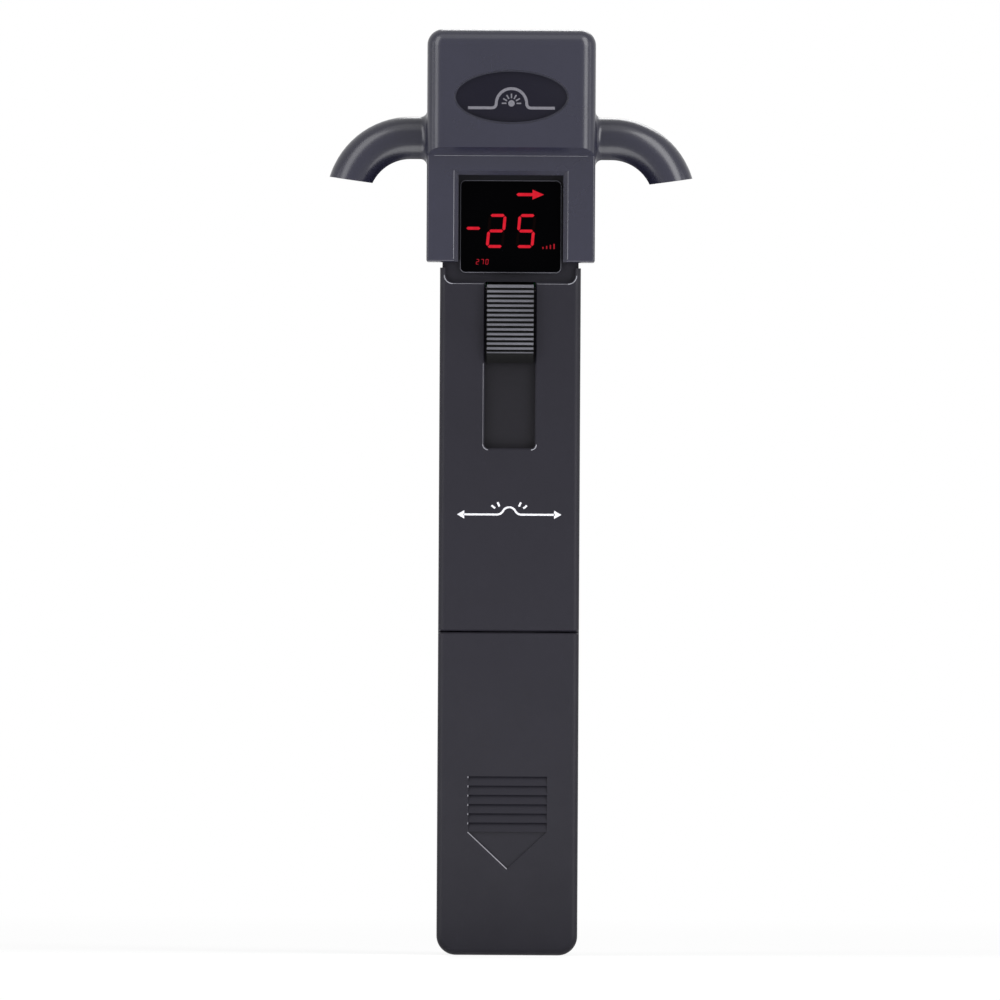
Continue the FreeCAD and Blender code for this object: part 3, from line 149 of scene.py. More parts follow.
class Nodes:
    """Adds nodes to one node tree and joins them."""

    def __init__(self, tree: bpy.types.NodeTree) -> None:
        """Keeps the tree to work on."""
        self.tree = tree

    def add(self, kind: str, inputs: dict[Union[str, int], object], **settings: object) -> bpy.types.Node:
        """Adds a node, with a link for each input that is a socket and a value for any other.

        Args:
            kind: Node type without its ShaderNode prefix.
            inputs: Value, colour or output socket by input name or index.
            **settings: Properties of the node.

        Returns:
            The new node.
        """
        node = self.tree.nodes.new("ShaderNode" + kind)
        for name, value in settings.items():
            setattr(node, name, value)
        for key, value in inputs.items():
            self.feed(node.inputs[key], value)
        return node

    def feed(self, socket: Socket, value: object) -> None:
        """Links a socket to an input, or sets the input's value.

        Args:
            socket: The input to feed.
            value: An output socket, a number, a vector or a colour.
        """
        if isinstance(value, Socket):
            self.tree.links.new(value, socket)
        elif socket.type == "RGBA":
            socket.default_value = (*value, 1.0)
        else:
            socket.default_value = value

    def mix(self, factor: Union[float, Socket], first: Paint, second: Paint) -> Socket:
        """Mixes two colours.

        Args:
            factor: Share of the second colour.
            first: Colour at a factor of 0.
            second: Colour at a factor of 1.

        Returns:
            The mixed colour.
        """
        return self.add("Mix", {0: factor, 6: first, 7: second}, data_type="RGBA").outputs[2]

    def span(self, value: Socket, low: float, high: float, start: float = 0.0, end: float = 1.0) -> Socket:
        """Maps a value from one range to another, and clamps it there.

        Args:
            value: The value to map.
            low: Result at the start.
            high: Result at the end.
            start: Value that gives the low result.
            end: Value that gives the high result.

        Returns:
            The mapped value.
        """
        limits = {"Value": value, "From Min": start, "From Max": end, "To Min": low, "To Max": high}
        return self.add("MapRange", limits).outputs["Result"]

    def mask(self, value: Socket, edge: Pair) -> Socket:
        """Maps a value to a mask that rises from 0 to 1 between two values."""
        return self.span(value, 0.0, 1.0, *edge)

    def sum(self, first: Socket, second: Union[float, Socket], operation: str = "ADD") -> Socket:
        """Joins two values by arithmetic.

        Args:
            first: First value.
            second: Second value.
            operation: Name of the Math node's operation.

        Returns:
            The result.
        """
        return self.add("Math", {0: first, 1: second}, operation=operation).outputs[0]

    def scaled(self, value: Socket, share: Union[float, Socket]) -> Socket:
        """Multiplies a value by a share."""
        return self.sum(value, share, "MULTIPLY")

    def noise(self, place: Socket, scale: Union[float, Socket], detail: float) -> Socket:
        """Reads a noise pattern.

        Args:
            place: Coordinates.
            scale: Cells a metre.
            detail: Octaves.

        Returns:
            The noise, about 0 to 1.
        """
        return self.add("TexNoise", {"Vector": place, "Scale": scale, "Detail": detail}).outputs[0]

    def stretch(self, place: Socket, scale: Triple, turn: float = 0.0) -> Socket:
        """Turns coordinates by one angle about every axis, and scales each axis by its own amount."""
        return self.add("Mapping", {"Vector": place, "Rotation": (turn,) * 3, "Scale": scale}).outputs[0]


class Effects:
    """Shader node groups that several finishes share, each built on its first use."""

    PIT_SCALE = 1.7
    CELL_SOFTNESS = 0.6
    MOTTLE_SCALE = 0.03
    MOTTLE_EDGE = (0.3, 0.7)
    SCUFF_TURNS = (0.5, -0.8)
    SCUFF_STRETCH = (1.0, 0.05, 0.4)
    SCUFF_EDGE = (0.66, 0.76)
    SMEAR_SCALE = 0.06
    SMEAR_EDGE = (0.25, 0.8)
    LINE_STRETCH = (1.0, 1.0, 0.03)
    BLOTCH_SCALE = 0.06
    TONE_EDGE = (0.7, 1.3)

    def __init__(self) -> None:
        """Starts with no group made."""
        self._made: dict[str, bpy.types.NodeTree] = {}

    def _begin(self, name: str, outputs: Sequence[str]) -> tuple[Nodes, bpy.types.Node, bpy.types.Node]:
        """Makes an empty group with a place and a scale for inputs.

        Args:
            name: Name of the group.
            outputs: Names of its outputs.

        Returns:
            The group's nodes, its input node and its output node.
        """
        tree = bpy.data.node_groups.new(name, "ShaderNodeTree")
        tree.interface.new_socket("Place", in_out="INPUT", socket_type="NodeSocketVector")
        tree.interface.new_socket("Scale", in_out="INPUT", socket_type="NodeSocketFloat")
        for output in outputs:
            tree.interface.new_socket(output, in_out="OUTPUT", socket_type="NodeSocketFloat")
        self._made[name] = tree
        return Nodes(tree), tree.nodes.new("NodeGroupInput"), tree.nodes.new("NodeGroupOutput")

    def grain(self) -> bpy.types.NodeTree:
        """Spark-eroded grain of a mould: fine pits for the relief, and a slow mottle.

        Returns:
            The group, with the outputs Height and Mottle.
        """
        if "mould_grain" not in self._made:
            nodes, given, result = self._begin("mould_grain", ("Height", "Mottle"))
            place, scale = given.outputs["Place"], given.outputs["Scale"]
            soft = {"Vector": place, "Scale": scale, "Smoothness": self.CELL_SOFTNESS}
            cells = nodes.add("TexVoronoi", soft, feature="SMOOTH_F1")
            pits = nodes.noise(place, nodes.scaled(scale, self.PIT_SCALE), detail=3.0)
            nodes.feed(result.inputs["Height"], nodes.sum(cells.outputs["Distance"], pits))
            slow = nodes.noise(place, nodes.scaled(scale, self.MOTTLE_SCALE), detail=4.0)
            nodes.feed(result.inputs["Mottle"], nodes.mask(slow, self.MOTTLE_EDGE))
        return self._made["mould_grain"]

    def rubs(self) -> bpy.types.NodeTree:
        """Marks of handling: thin scuffs that lie across each other, and smears.

        Returns:
            The group, with the outputs Scuff and Smear.
        """
        if "handling_rubs" not in self._made:
            nodes, given, result = self._begin("handling_rubs", ("Scuff", "Smear"))
            place, scale = given.outputs["Place"], given.outputs["Scale"]
            streaks = []
            for turn in self.SCUFF_TURNS:
                lines = nodes.noise(nodes.stretch(place, self.SCUFF_STRETCH, turn), scale, detail=3.0)
                streaks.append(nodes.mask(lines, self.SCUFF_EDGE))
            nodes.feed(result.inputs["Scuff"], nodes.sum(*streaks, "MAXIMUM"))
            smear = nodes.noise(place, nodes.scaled(scale, self.SMEAR_SCALE), detail=2.0)
            nodes.feed(result.inputs["Smear"], nodes.mask(smear, self.SMEAR_EDGE))
        return self._made["handling_rubs"]

    def drawn(self) -> bpy.types.NodeTree:
        """Lines that rolling and drawing leave along a metal.

        Returns:
            The group, with the outputs Height and Tone.
        """
        if "drawn_lines" not in self._made:
            nodes, given, result = self._begin("drawn_lines", ("Height", "Tone"))
            place, scale = given.outputs["Place"], given.outputs["Scale"]
            lines = nodes.noise(nodes.stretch(place, self.LINE_STRETCH), scale, detail=4.0)
            nodes.feed(result.inputs["Height"], lines)
            blotch = nodes.noise(place, nodes.scaled(scale, self.BLOTCH_SCALE), detail=3.0)
            nodes.feed(result.inputs["Tone"], nodes.mask(nodes.sum(lines, blotch), self.TONE_EDGE))
        return self._made["drawn_lines"]


class Sheet(Nodes):
    """Nodes of one material round its Principled shader."""

    def __init__(self, name: str) -> None:
        """Makes the material and finds its shader.

        Args:
            name: Name of the material.
        """
        self.material = bpy.data.materials.new(name)
        self.material.use_nodes = True
        super().__init__(self.material.node_tree)
        self.shader = self.tree.nodes["Principled BSDF"]
        self.coordinates = self.add("TexCoord", {}).outputs
        self.place = self.coordinates["Object"]

    def use(self, group: bpy.types.NodeTree, scale: float) -> bpy.types.NodeOutputs:
        """Places a shared group at a scale of this material's own.

        Args:
            group: The shared effect.
            scale: Cells a metre.

        Returns:
            The outputs of the placed group.
        """
        node = self.tree.nodes.new("ShaderNodeGroup")
        node.node_tree = group
        self.feed(node.inputs["Place"], self.place)
        self.feed(node.inputs["Scale"], scale)
        return node.outputs

    def relief(self, height: Socket, depth: float, strength: float) -> None:
        """Feeds a height to the shader's normal.

        Args:
            height: Height pattern.
            depth: Height of the relief in metres.
            strength: Share of the relief that shows.
        """
        bump = self.add("Bump", {"Strength": strength, "Distance": depth, "Height": height})
        self.dress({"Normal": bump.outputs[0]})

    def dress(self, inputs: dict[str, object]) -> None:
        """Sets or links inputs of the shader by name."""
        for name, value in inputs.items():
            self.feed(self.shader.inputs[name], value)


# Finishes


@dataclass(frozen=True)
class Finish:
    """Finish with a name, which builds its own material.

    In each finish, gloss is a low and a high roughness, an edge is the two values that a mask changes
    between, cells are counted a metre, and depth and strength are those of the relief.
    """

    name: str

    def material(self, effects: Effects) -> bpy.types.Material:
        """Builds the finish.

        Args:
            effects: Shared node groups.

        Returns:
            The material.
        """
        sheet = Sheet(self.name)
        self.lay(sheet, effects)
        return sheet.material

    def lay(self, sheet: Sheet, effects: Effects) -> None:
        """Feeds the shader of the finish's material.

        Args:
            sheet: Nodes of the material.
            effects: Shared node groups.
        """
        raise NotImplementedError


@dataclass(frozen=True)
class MouldedPlastic(Finish):
    """Moulded plastic with a fine spark-eroded grain."""

    tone: Colour
    shade: Colour
    gloss: Pair = (0.44, 0.48)
    reflect: float = 0.17
    cells: float = 3600.0
    rub_cells: float = 900.0
    wear: float = 1.8
    scuff_share: float = 0.12
    smear_share: float = 0.04
    depth: float = 0.012 * MM
    strength: float = 0.25

    def lay(self, sheet: Sheet, effects: Effects) -> None:
        """Lays the mottled tone, pale scuffs, smeared gloss and grain.

        Args:
            sheet: Nodes of the material.
            effects: Shared node groups.
        """
        grain = sheet.use(effects.grain(), self.cells)
        rubs = sheet.use(effects.rubs(), self.rub_cells)
        worn = tuple(self.wear * part for part in self.tone)
        tone = sheet.mix(grain["Mottle"], self.shade, self.tone)
        smooth, rough = self.gloss
        matt = sheet.span(grain["Mottle"], rough, smooth)
        sheet.dress({
            "Base Color": sheet.mix(sheet.scaled(rubs["Scuff"], self.scuff_share), tone, worn),
            "Roughness": sheet.sum(matt, sheet.scaled(rubs["Smear"], self.smear_share), "SUBTRACT"),
            "Specular IOR Level": self.reflect,
        })
        sheet.relief(grain["Height"], self.depth, self.strength)


@dataclass(frozen=True)
class WornAndShadedRibs(Finish):
    """Moulded ribs coloured by depth below the face: pale crests, partly thumb wear and partly a painted
    highlight, over painted shade in the grooves.
    """

    crest_wear_and_sheen: Colour
    # The groove colour is painted shade for the grooves and the ramp.
    groove: Colour
    level: float
    pale_to_shaded_depths: Pair = (0.05 * MM, 0.4 * MM)
    patchiness: Pair = (0.7, 1.0)
    gloss: Pair = (0.3, 0.5)
    reflect: float = 0.1
    cells: float = 3600.0
    depth: float = 0.012 * MM
    strength: float = 0.25

    def lay(self, sheet: Sheet, effects: Effects) -> None:
        """Lays the pale crests over the dark grooves by their depth below the face, as wear and painted
        highlight above painted shade.

        Args:
            sheet: Nodes of the material.
            effects: Shared node groups.
        """
        grain = sheet.use(effects.grain(), self.cells)
        height = sheet.add("SeparateXYZ", {0: sheet.place}).outputs["Y"]
        # Paler near the face and darker deeper down: wear and painted highlight on the crests, painted shade
        # in the grooves and down the ramp.
        worn = sheet.span(height, 1.0, 0.0, *(self.level + sunk for sunk in self.pale_to_shaded_depths))
        patchy = sheet.scaled(worn, sheet.span(grain["Mottle"], *self.patchiness))
        smooth, rough = self.gloss
        sheet.dress({
            "Base Color": sheet.mix(patchy, self.groove, self.crest_wear_and_sheen),
            "Roughness": sheet.span(patchy, rough, smooth),
            "Specular IOR Level": self.reflect,
        })
        sheet.relief(grain["Height"], self.depth, self.strength)


@dataclass(frozen=True)
class DarkWindow(Finish):
    """Dark read-out window with a faint film of handling, and a painted highlight on its rounded rim."""

    tone: Colour
    # The rim colour is a painted highlight on the rounded edge.
    rim: Colour
    reflect: float = 0.006
    rub_cells: float = 700.0
    haze_gain: float = 2.0
    haze_lift: float = 0.0002
    rim_highlight_edge: Pair = (-0.98, -0.85)
    gloss: Pair = (0.10, 0.22)

    def lay(self, sheet: Sheet, effects: Effects) -> None:
        """Lays the dark face with its haze, and a painted highlight on the rim where the surface turns away
        from the front.

        Args:
            sheet: Nodes of the material.
            effects: Shared node groups.
        """
        rubs = sheet.use(effects.rubs(), self.rub_cells)
        haze = tuple(self.haze_gain * part + self.haze_lift for part in self.tone)
        # Where the surface turns away from the front, the base colour is lightened as a painted highlight.
        facing = sheet.add("SeparateXYZ", {0: sheet.coordinates["Normal"]}).outputs["Y"]
        face = sheet.mix(rubs["Smear"], self.tone, haze)
        marks = sheet.sum(rubs["Smear"], rubs["Scuff"])
        sheet.dress({
            "Base Color": sheet.mix(sheet.mask(facing, self.rim_highlight_edge), face, self.rim),
            "Roughness": sheet.span(marks, *self.gloss, end=2.0),
            "Specular IOR Level": self.reflect,
        })


@dataclass(frozen=True)
class Metal(Finish):
    """Plated, blued or blackened steel with drawn lines."""

    tone: Colour
    shade: Colour
    gloss: Pair = (0.26, 0.42)
    metallic: float = 1.0
    cells: float = 5200.0
    rub_cells: float = 1600.0
    polish_gain: float = 1.4
    polish_lift: float = 0.02
    scuff_share: float = 0.5
    depth: float = 0.006 * MM
    strength: float = 0.4

    def lay(self, sheet: Sheet, effects: Effects) -> None:
        """Lays the drawn lines and the bright scuffs.

        Args:
            sheet: Nodes of the material.
            effects: Shared node groups.
        """
        lines = sheet.use(effects.drawn(), self.cells)
        rubs = sheet.use(effects.rubs(), self.rub_cells)
        tone = sheet.mix(lines["Tone"], self.shade, self.tone)
        bright = tuple(min(1.0, self.polish_gain * part + self.polish_lift) for part in self.tone)
        smooth, rough = self.gloss
        sheet.dress({
            "Base Color": sheet.mix(sheet.scaled(rubs["Scuff"], self.scuff_share), tone, bright),
            "Roughness": sheet.span(lines["Tone"], rough, smooth),
            "Metallic": self.metallic,
        })
        sheet.relief(lines["Height"], self.depth, self.strength)


@dataclass(frozen=True)
class SolderMask(Finish):
    """Board with a green mask over its traces."""

    mask: Colour
    trace: Colour
    pitch: float = 1.3 * MM
    runs: tuple[Triple, Triple] = ((1.0, 1.0, 0.08), (0.08, 1.0, 1.0))
    scatter: float = 0.3
    trace_edge: Pair = (0.1, 0.16)
    gloss: Pair = (0.32, 0.44)
    cells: float = 2200.0
    depth: float = 0.03 * MM
    strength: float = 0.6

    def lay(self, sheet: Sheet, effects: Effects) -> None:
        """Lays raised traces that run up and across under the mask.

        Args:
            sheet: Nodes of the material.
            effects: Shared node groups.
        """
        grain = sheet.use(effects.grain(), self.cells)
        lines = []
        for run in self.runs:
            place = sheet.stretch(sheet.place, run)
            cells = {"Vector": place, "Scale": 1.0 / self.pitch, "Randomness": self.scatter}
            gaps = sheet.add("TexVoronoi", cells, feature="DISTANCE_TO_EDGE").outputs["Distance"]
            lines.append(sheet.span(gaps, 1.0, 0.0, *self.trace_edge))
        traces = sheet.sum(*lines, "MAXIMUM")
        sheet.dress({
            "Base Color": sheet.mix(traces, self.mask, self.trace),
            "Roughness": sheet.span(grain["Mottle"], *self.gloss),
        })
        sheet.relief(traces, self.depth, self.strength)


@dataclass(frozen=True)
class AmberFilm(Finish):
    """Amber film of a flat cable, with its copper tracks showing through."""

    film: Colour
    track: Colour
    pitch: float = 0.8 * MM
    bands: float = 0.31
    track_edge: Pair = (0.45, 0.6)
    gloss: Pair = (0.2, 0.34)
    rub_cells: float = 1200.0
    depth: float = 0.02 * MM
    strength: float = 0.5

    def lay(self, sheet: Sheet, effects: Effects) -> None:
        """Lays raised copper tracks along the film.

        Args:
            sheet: Nodes of the material.
            effects: Shared node groups.
        """
        rubs = sheet.use(effects.rubs(), self.rub_cells)
        wave = {"Vector": sheet.place, "Scale": self.bands / self.pitch}
        bands = sheet.add("TexWave", wave, bands_direction="X").outputs["Fac"]
        tracks = sheet.mask(bands, self.track_edge)
        sheet.dress({
            "Base Color": sheet.mix(tracks, self.film, self.track),
            "Roughness": sheet.span(rubs["Smear"], *self.gloss),
        })
        sheet.relief(tracks, self.depth, self.strength)


@dataclass(frozen=True)
class SpeckledSkin(Finish):
    """Fired ceramic or a lacquered jacket, with a speckle in its colour."""

    tone: Colour
    speck: Colour
    cells: float
    gloss: Pair
    speck_edge: Pair = (0.58, 0.66)
    rub_cells: float = 800.0
    depth: float = 0.01 * MM
    strength: float = 0.3

    def lay(self, sheet: Sheet, effects: Effects) -> None:
        """Lays the speckled tone, and a gloss that grain and scuffs vary.

        Args:
            sheet: Nodes of the material.
            effects: Shared node groups.
        """
        grain = sheet.use(effects.grain(), self.cells)
        rubs = sheet.use(effects.rubs(), self.rub_cells)
        specks = sheet.mask(sheet.noise(sheet.place, self.cells, detail=1.0), self.speck_edge)
        marks = sheet.sum(grain["Mottle"], rubs["Scuff"])
        sheet.dress({
            "Base Color": sheet.mix(specks, self.tone, self.speck),
            "Roughness": sheet.span(marks, *self.gloss, end=2.0),
        })
        sheet.relief(grain["Height"], self.depth, self.strength)


@dataclass(frozen=True)
class Lamp(Finish):
    """Lit or unlit bar of the read-out, with a slightly uneven glow."""

    bright: Colour
    dim: Colour
    power: float = 1.0
    glass: Colour = (0.0010, 0.0004, 0.0004)
    gloss: Pair = (0.3, 0.4)
    reflect: float = 0.01
    cells: float = 30000.0

    def lay(self, sheet: Sheet, effects: Effects) -> None:
        """Lays the glow over the dark glass.

        Args:
            sheet: Nodes of the material.
            effects: Shared node groups.
        """
        grain = sheet.use(effects.grain(), self.cells)
        sheet.dress({
            "Base Color": self.glass,
            "Roughness": sheet.span(grain["Mottle"], *self.gloss),
            "Specular IOR Level": self.reflect,
            "Emission Color": sheet.mix(grain["Mottle"], self.dim, self.bright),
            "Emission Strength": self.power,
        })


@dataclass(frozen=True)
class PadInk(Finish):
    """Pad-printed ink that lets a little of the grain through."""

    tone: Colour
    thin: Colour
    thin_edge: Pair = (0.55, 1.25)
    gloss: Pair = (0.45, 0.6)
    reflect: float = 0.3
    cells: float = 5200.0
    depth: float = 0.01 * MM
    strength: float = 0.3

    def lay(self, sheet: Sheet, effects: Effects) -> None:
        """Lays the ink, thinner on the heights of the grain.

        Args:
            sheet: Nodes of the material.
            effects: Shared node groups.
        """
        grain = sheet.use(effects.grain(), self.cells)
        sheet.dress({
            "Base Color": sheet.mix(sheet.mask(grain["Height"], self.thin_edge), self.tone, self.thin),
            "Roughness": sheet.span(grain["Mottle"], *self.gloss),
            "Specular IOR Level": self.reflect,
        })
        sheet.relief(grain["Height"], self.depth, self.strength)


HOOD_PLASTIC = MouldedPlastic(
    "charcoal_hood", tint(27, 27, 41), tint(24, 24, 38), gloss=(0.26, 0.29), reflect=0.47
)
PLATED_STEEL = Metal("plated_steel", tint(206, 206, 208), tint(178, 178, 182))
DARK_STEEL = Metal("blackened_steel", tint(74, 74, 78), tint(54, 54, 58), gloss=(0.34, 0.5), metallic=0.85)
SLOT_FINISHES = {
    Slot.CASE: MouldedPlastic("charcoal_case", tint(24, 23, 30), tint(21, 20, 27)),
    Slot.HOOD: HOOD_PLASTIC,
    # The window's second colour is a painted highlight for its rim.
    Slot.WINDOW: DarkWindow("dark_window", (0.0002, 0.0002, 0.0003), tint(76, 76, 82)),
    Slot.BLACK: MouldedPlastic("black_moulding", tint(38, 38, 41), tint(32, 32, 35), gloss=(0.36, 0.5)),
    Slot.BOARD: SolderMask("green_solder_mask", tint(22, 82, 48), tint(40, 118, 70)),
    Slot.FLEX: AmberFilm("amber_film", tint(196, 132, 44), tint(166, 92, 38)),
    Slot.STEEL: PLATED_STEEL,
    Slot.DARK_STEEL: DARK_STEEL,
    Slot.CERAMIC: SpeckledSkin("fired_ceramic", tint(194, 180, 158), tint(160, 142, 116), 3000.0, (0.4, 0.6)),
    Slot.JACKET: SpeckledSkin("lacquered_jacket", tint(95, 99, 107), tint(78, 82, 90), 1500.0, (0.3, 0.5)),
    Slot.RED: MouldedPlastic("red_insulation", tint(194, 46, 44), tint(172, 36, 36), reflect=0.4),
}
NODE_FINISHES = {
    "slide_carriage": MouldedPlastic("carriage_plastic", tint(17, 16, 21), tint(15, 14, 19), reflect=0.16),
    "guide_plate": Metal("blued_guide", tint(42, 42, 46), tint(32, 32, 36), gloss=(0.4, 0.55), metallic=0.85),
}
OVAL_PLASTIC = MouldedPlastic("dark_oval", tint(15, 14, 24), tint(13, 12, 22), reflect=0.1)
# Pale plastic of the painted highlight strips along moulded edges.
PAINTED_EDGE_HIGHLIGHT = MouldedPlastic("painted_edge_highlight", tint(128, 128, 134), tint(104, 104, 110))
LIT = Lamp("lit_red", (0.76, 0.016, 0.034), (0.60, 0.010, 0.024))
DIM = Lamp("dim_red", (0.42, 0.012, 0.022), (0.30, 0.009, 0.016))
UNLIT = Lamp("unlit_red", (0.0014, 0.0003, 0.0003), (0.0010, 0.0002, 0.0002))
HALO = Lamp("red_halo", (0.020, 0.0014, 0.0020), (0.014, 0.0012, 0.0016))
WHITE_INK = PadInk("white_ink", tint(206, 206, 210), tint(170, 170, 176))
GREY_INK = PadInk("grey_ink", tint(102, 101, 108), tint(82, 81, 88))


class Paintbox:
    """Makes each finish's material once and hands it out."""

    def __init__(self) -> None:
        """Starts with no material made."""
        self._effects = Effects()
        self._made: dict[str, bpy.types.Material] = {}

    def material(self, finish: Finish) -> bpy.types.Material:
        """Finds or builds the material of a finish.

        Args:
            finish: The finish to use.

        Returns:
            Its material.
        """
        if finish.name not in self._made:
            self._made[finish.name] = finish.material(self._effects)
        return self._made[finish.name]

    def dress_nodes(self, frame: dict) -> None:
        """Gives every node of the frame its own finish, or else that of its slot.

        Args:
            frame: The loaded frame.
        """
        for part in frame["record"]["subparts"]:
            node = frame["nodes"][part["node"]]
            finish = NODE_FINISHES.get(part["node"], SLOT_FINISHES[Slot(part["material_slot"])])
            for place in node.material_slots:
                place.material = self.material(finish)
            LOG.info("node %s dressed in %s", part["node"], finish.name)


# Mesh helpers


def verts_of(geometry: Sequence[object]) -> list[bmesh.types.BMVert]:
    """Picks the vertices out of what an operator made."""
    return [item for item in geometry if isinstance(item, bmesh.types.BMVert)]


def edge_of(geometry: Sequence[object]) -> bmesh.types.BMEdge:
    """Picks the first edge out of what an operator made."""
    return next(item for item in geometry if isinstance(item, bmesh.types.BMEdge))


def settle(
    mesh: bmesh.types.BMesh, name: str, material: bpy.types.Material, body: Body
) -> bpy.types.Object:
    """Turns a finished bmesh into a piece that rides on a body.

    Args:
        mesh: The shape, in the frame's place. It is freed.
        name: Name of the piece.
        material: Its finish.
        body: Body that it rides on.

    Returns:
        The new object.
    """
    bmesh.ops.remove_doubles(mesh, verts=mesh.verts, dist=MERGE_BELOW)
    bmesh.ops.recalc_face_normals(mesh, faces=mesh.faces)
    data = bpy.data.meshes.new(name)
    mesh.to_mesh(data)
    mesh.free()
    data.shade_smooth()
    data.set_sharp_from_angle(angle=SMOOTH_BELOW)
    data.materials.append(material)
    piece = bpy.data.objects.new(name, data)
    bpy.context.scene.collection.objects.link(piece)
    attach(piece, body.value)
    LOG.info("piece %s: %d faces on %s", name, len(data.polygons), body.value)
    return piece


def thicken(mesh: bmesh.types.BMesh, depth: float) -> None:
    """Gives flat faces a thickness away from the viewer.

    Args:
        mesh: Flat faces square to the front.
        depth: Thickness.
    """
    grown = bmesh.ops.extrude_face_region(mesh, geom=mesh.faces[:])
    bmesh.ops.translate(mesh, verts=verts_of(grown["geom"]), vec=-FRONT * depth)


def polygon(mesh: bmesh.types.BMesh, sides: int, radius: float, matrix: Matrix) -> list[bmesh.types.BMVert]:
    """Adds a filled regular polygon that faces the front.

    Args:
        mesh: Mesh to add to.
        sides: Number of corners, the first of them to the right.
        radius: Distance of the corners from the middle.
        matrix: Place, applied after the polygon is turned to the front.

    Returns:
        The new vertices.
    """
    stand = Matrix.Rotation(QUARTER, 4, "X") @ Matrix.Rotation(-QUARTER, 4, "Z")
    made = bmesh.ops.create_circle(
        mesh, cap_ends=True, segments=sides, radius=radius, matrix=matrix @ stand
    )
    return made["verts"]


def bar(mesh: bmesh.types.BMesh, length: float, width: float, matrix: Matrix) -> None:
    """Adds a flat bar with pointed ends, long in X.

    Args:
        mesh: Mesh to add to.
        length: Length from point to point.
        width: Width across.
        matrix: Place of its middle.
    """
    steep = math.sqrt(3)
    verts = polygon(mesh, HEXAGON, width / steep, Matrix.Diagonal((steep, 1.0, 1.0, 1.0)))
    for side in SIDES:
        half = [vert for vert in verts if vert.co.x * side > 0]
        bmesh.ops.translate(mesh, verts=half, vec=(side * (length / 2 - width), 0.0, 0.0))
    bmesh.ops.transform(mesh, matrix=matrix, verts=verts)


class Pen:
    """Draws flat strips of even width in a plane that faces the front."""

    def __init__(self, mesh: bmesh.types.BMesh, level: float, width: float) -> None:
        """Keeps what to draw on.

        Args:
            mesh: Mesh to add to.
            level: Place of the plane in Y.
            width: Width of the strips.
        """
        self.mesh = mesh
        self.level = level
        self.width = width
        self.heading = 0.0
        self.tip = Vector()
        self.edge: bmesh.types.BMEdge | None = None

    def _ahead(self, angle: float = 0.0) -> Vector:
        """Direction at an angle to the left of the heading."""
        return Vector((math.cos(self.heading + angle), 0.0, math.sin(self.heading + angle)))

    def start(self, across: float, height: float, heading: float) -> None:
        """Puts the pen down.

        Args:
            across: Place in X.
            height: Place in Z.
            heading: Direction of the stroke, as an angle from +X.
        """
        self.heading = heading
        self.tip = Vector((across, self.level, height))
        side = self._ahead(QUARTER) * self.width / 2
        ends = [self.mesh.verts.new(self.tip + side), self.mesh.verts.new(self.tip - side)]
        self.edge = self.mesh.edges.new(ends)

    def run(self, length: float) -> None:
        """Draws a straight stroke.

        Args:
            length: Length of the stroke.
        """
        step = self._ahead() * length
        made = bmesh.ops.extrude_edge_only(self.mesh, edges=[self.edge])["geom"]
        bmesh.ops.translate(self.mesh, verts=verts_of(made), vec=step)
        self.edge = edge_of(made)
        self.tip = self.tip + step

    def turn(self, radius: float, angle: float, steps: int = 12) -> None:
        """Draws an arc.

        Args:
            radius: Radius of the stroke's middle.
            angle: Angle of the arc, positive to the left.
            steps: Number of pieces.
        """
        centre = self.tip + self._ahead(math.copysign(QUARTER, angle)) * radius
        made = bmesh.ops.spin(
            self.mesh, geom=[*self.edge.verts, self.edge], cent=centre, axis=FRONT, angle=angle, steps=steps
        )
        self.edge = edge_of(made["geom_last"])
        self.tip = centre + Matrix.Rotation(angle, 3, FRONT) @ (self.tip - centre)
        self.heading += angle


# Read-out


class Stroke(Enum):
    """Bars of a seven-bar digit: place across and up in half sizes, and whether the bar stands."""

    TOP = (0.0, 1.0, False)
    MIDDLE = (0.0, 0.0, False)
    BOTTOM = (0.0, -1.0, False)
    UPPER_LEFT = (-1.0, 0.5, True)
    UPPER_RIGHT = (1.0, 0.5, True)
    LOWER_LEFT = (-1.0, -0.5, True)
    LOWER_RIGHT = (1.0, -0.5, True)


DIGIT_GAPS = {
    0: {Stroke.MIDDLE},
    2: {Stroke.UPPER_LEFT, Stroke.LOWER_RIGHT},
    5: {Stroke.UPPER_RIGHT, Stroke.LOWER_LEFT},
    7: {Stroke.UPPER_LEFT, Stroke.MIDDLE, Stroke.LOWER_LEFT, Stroke.BOTTOM},
}


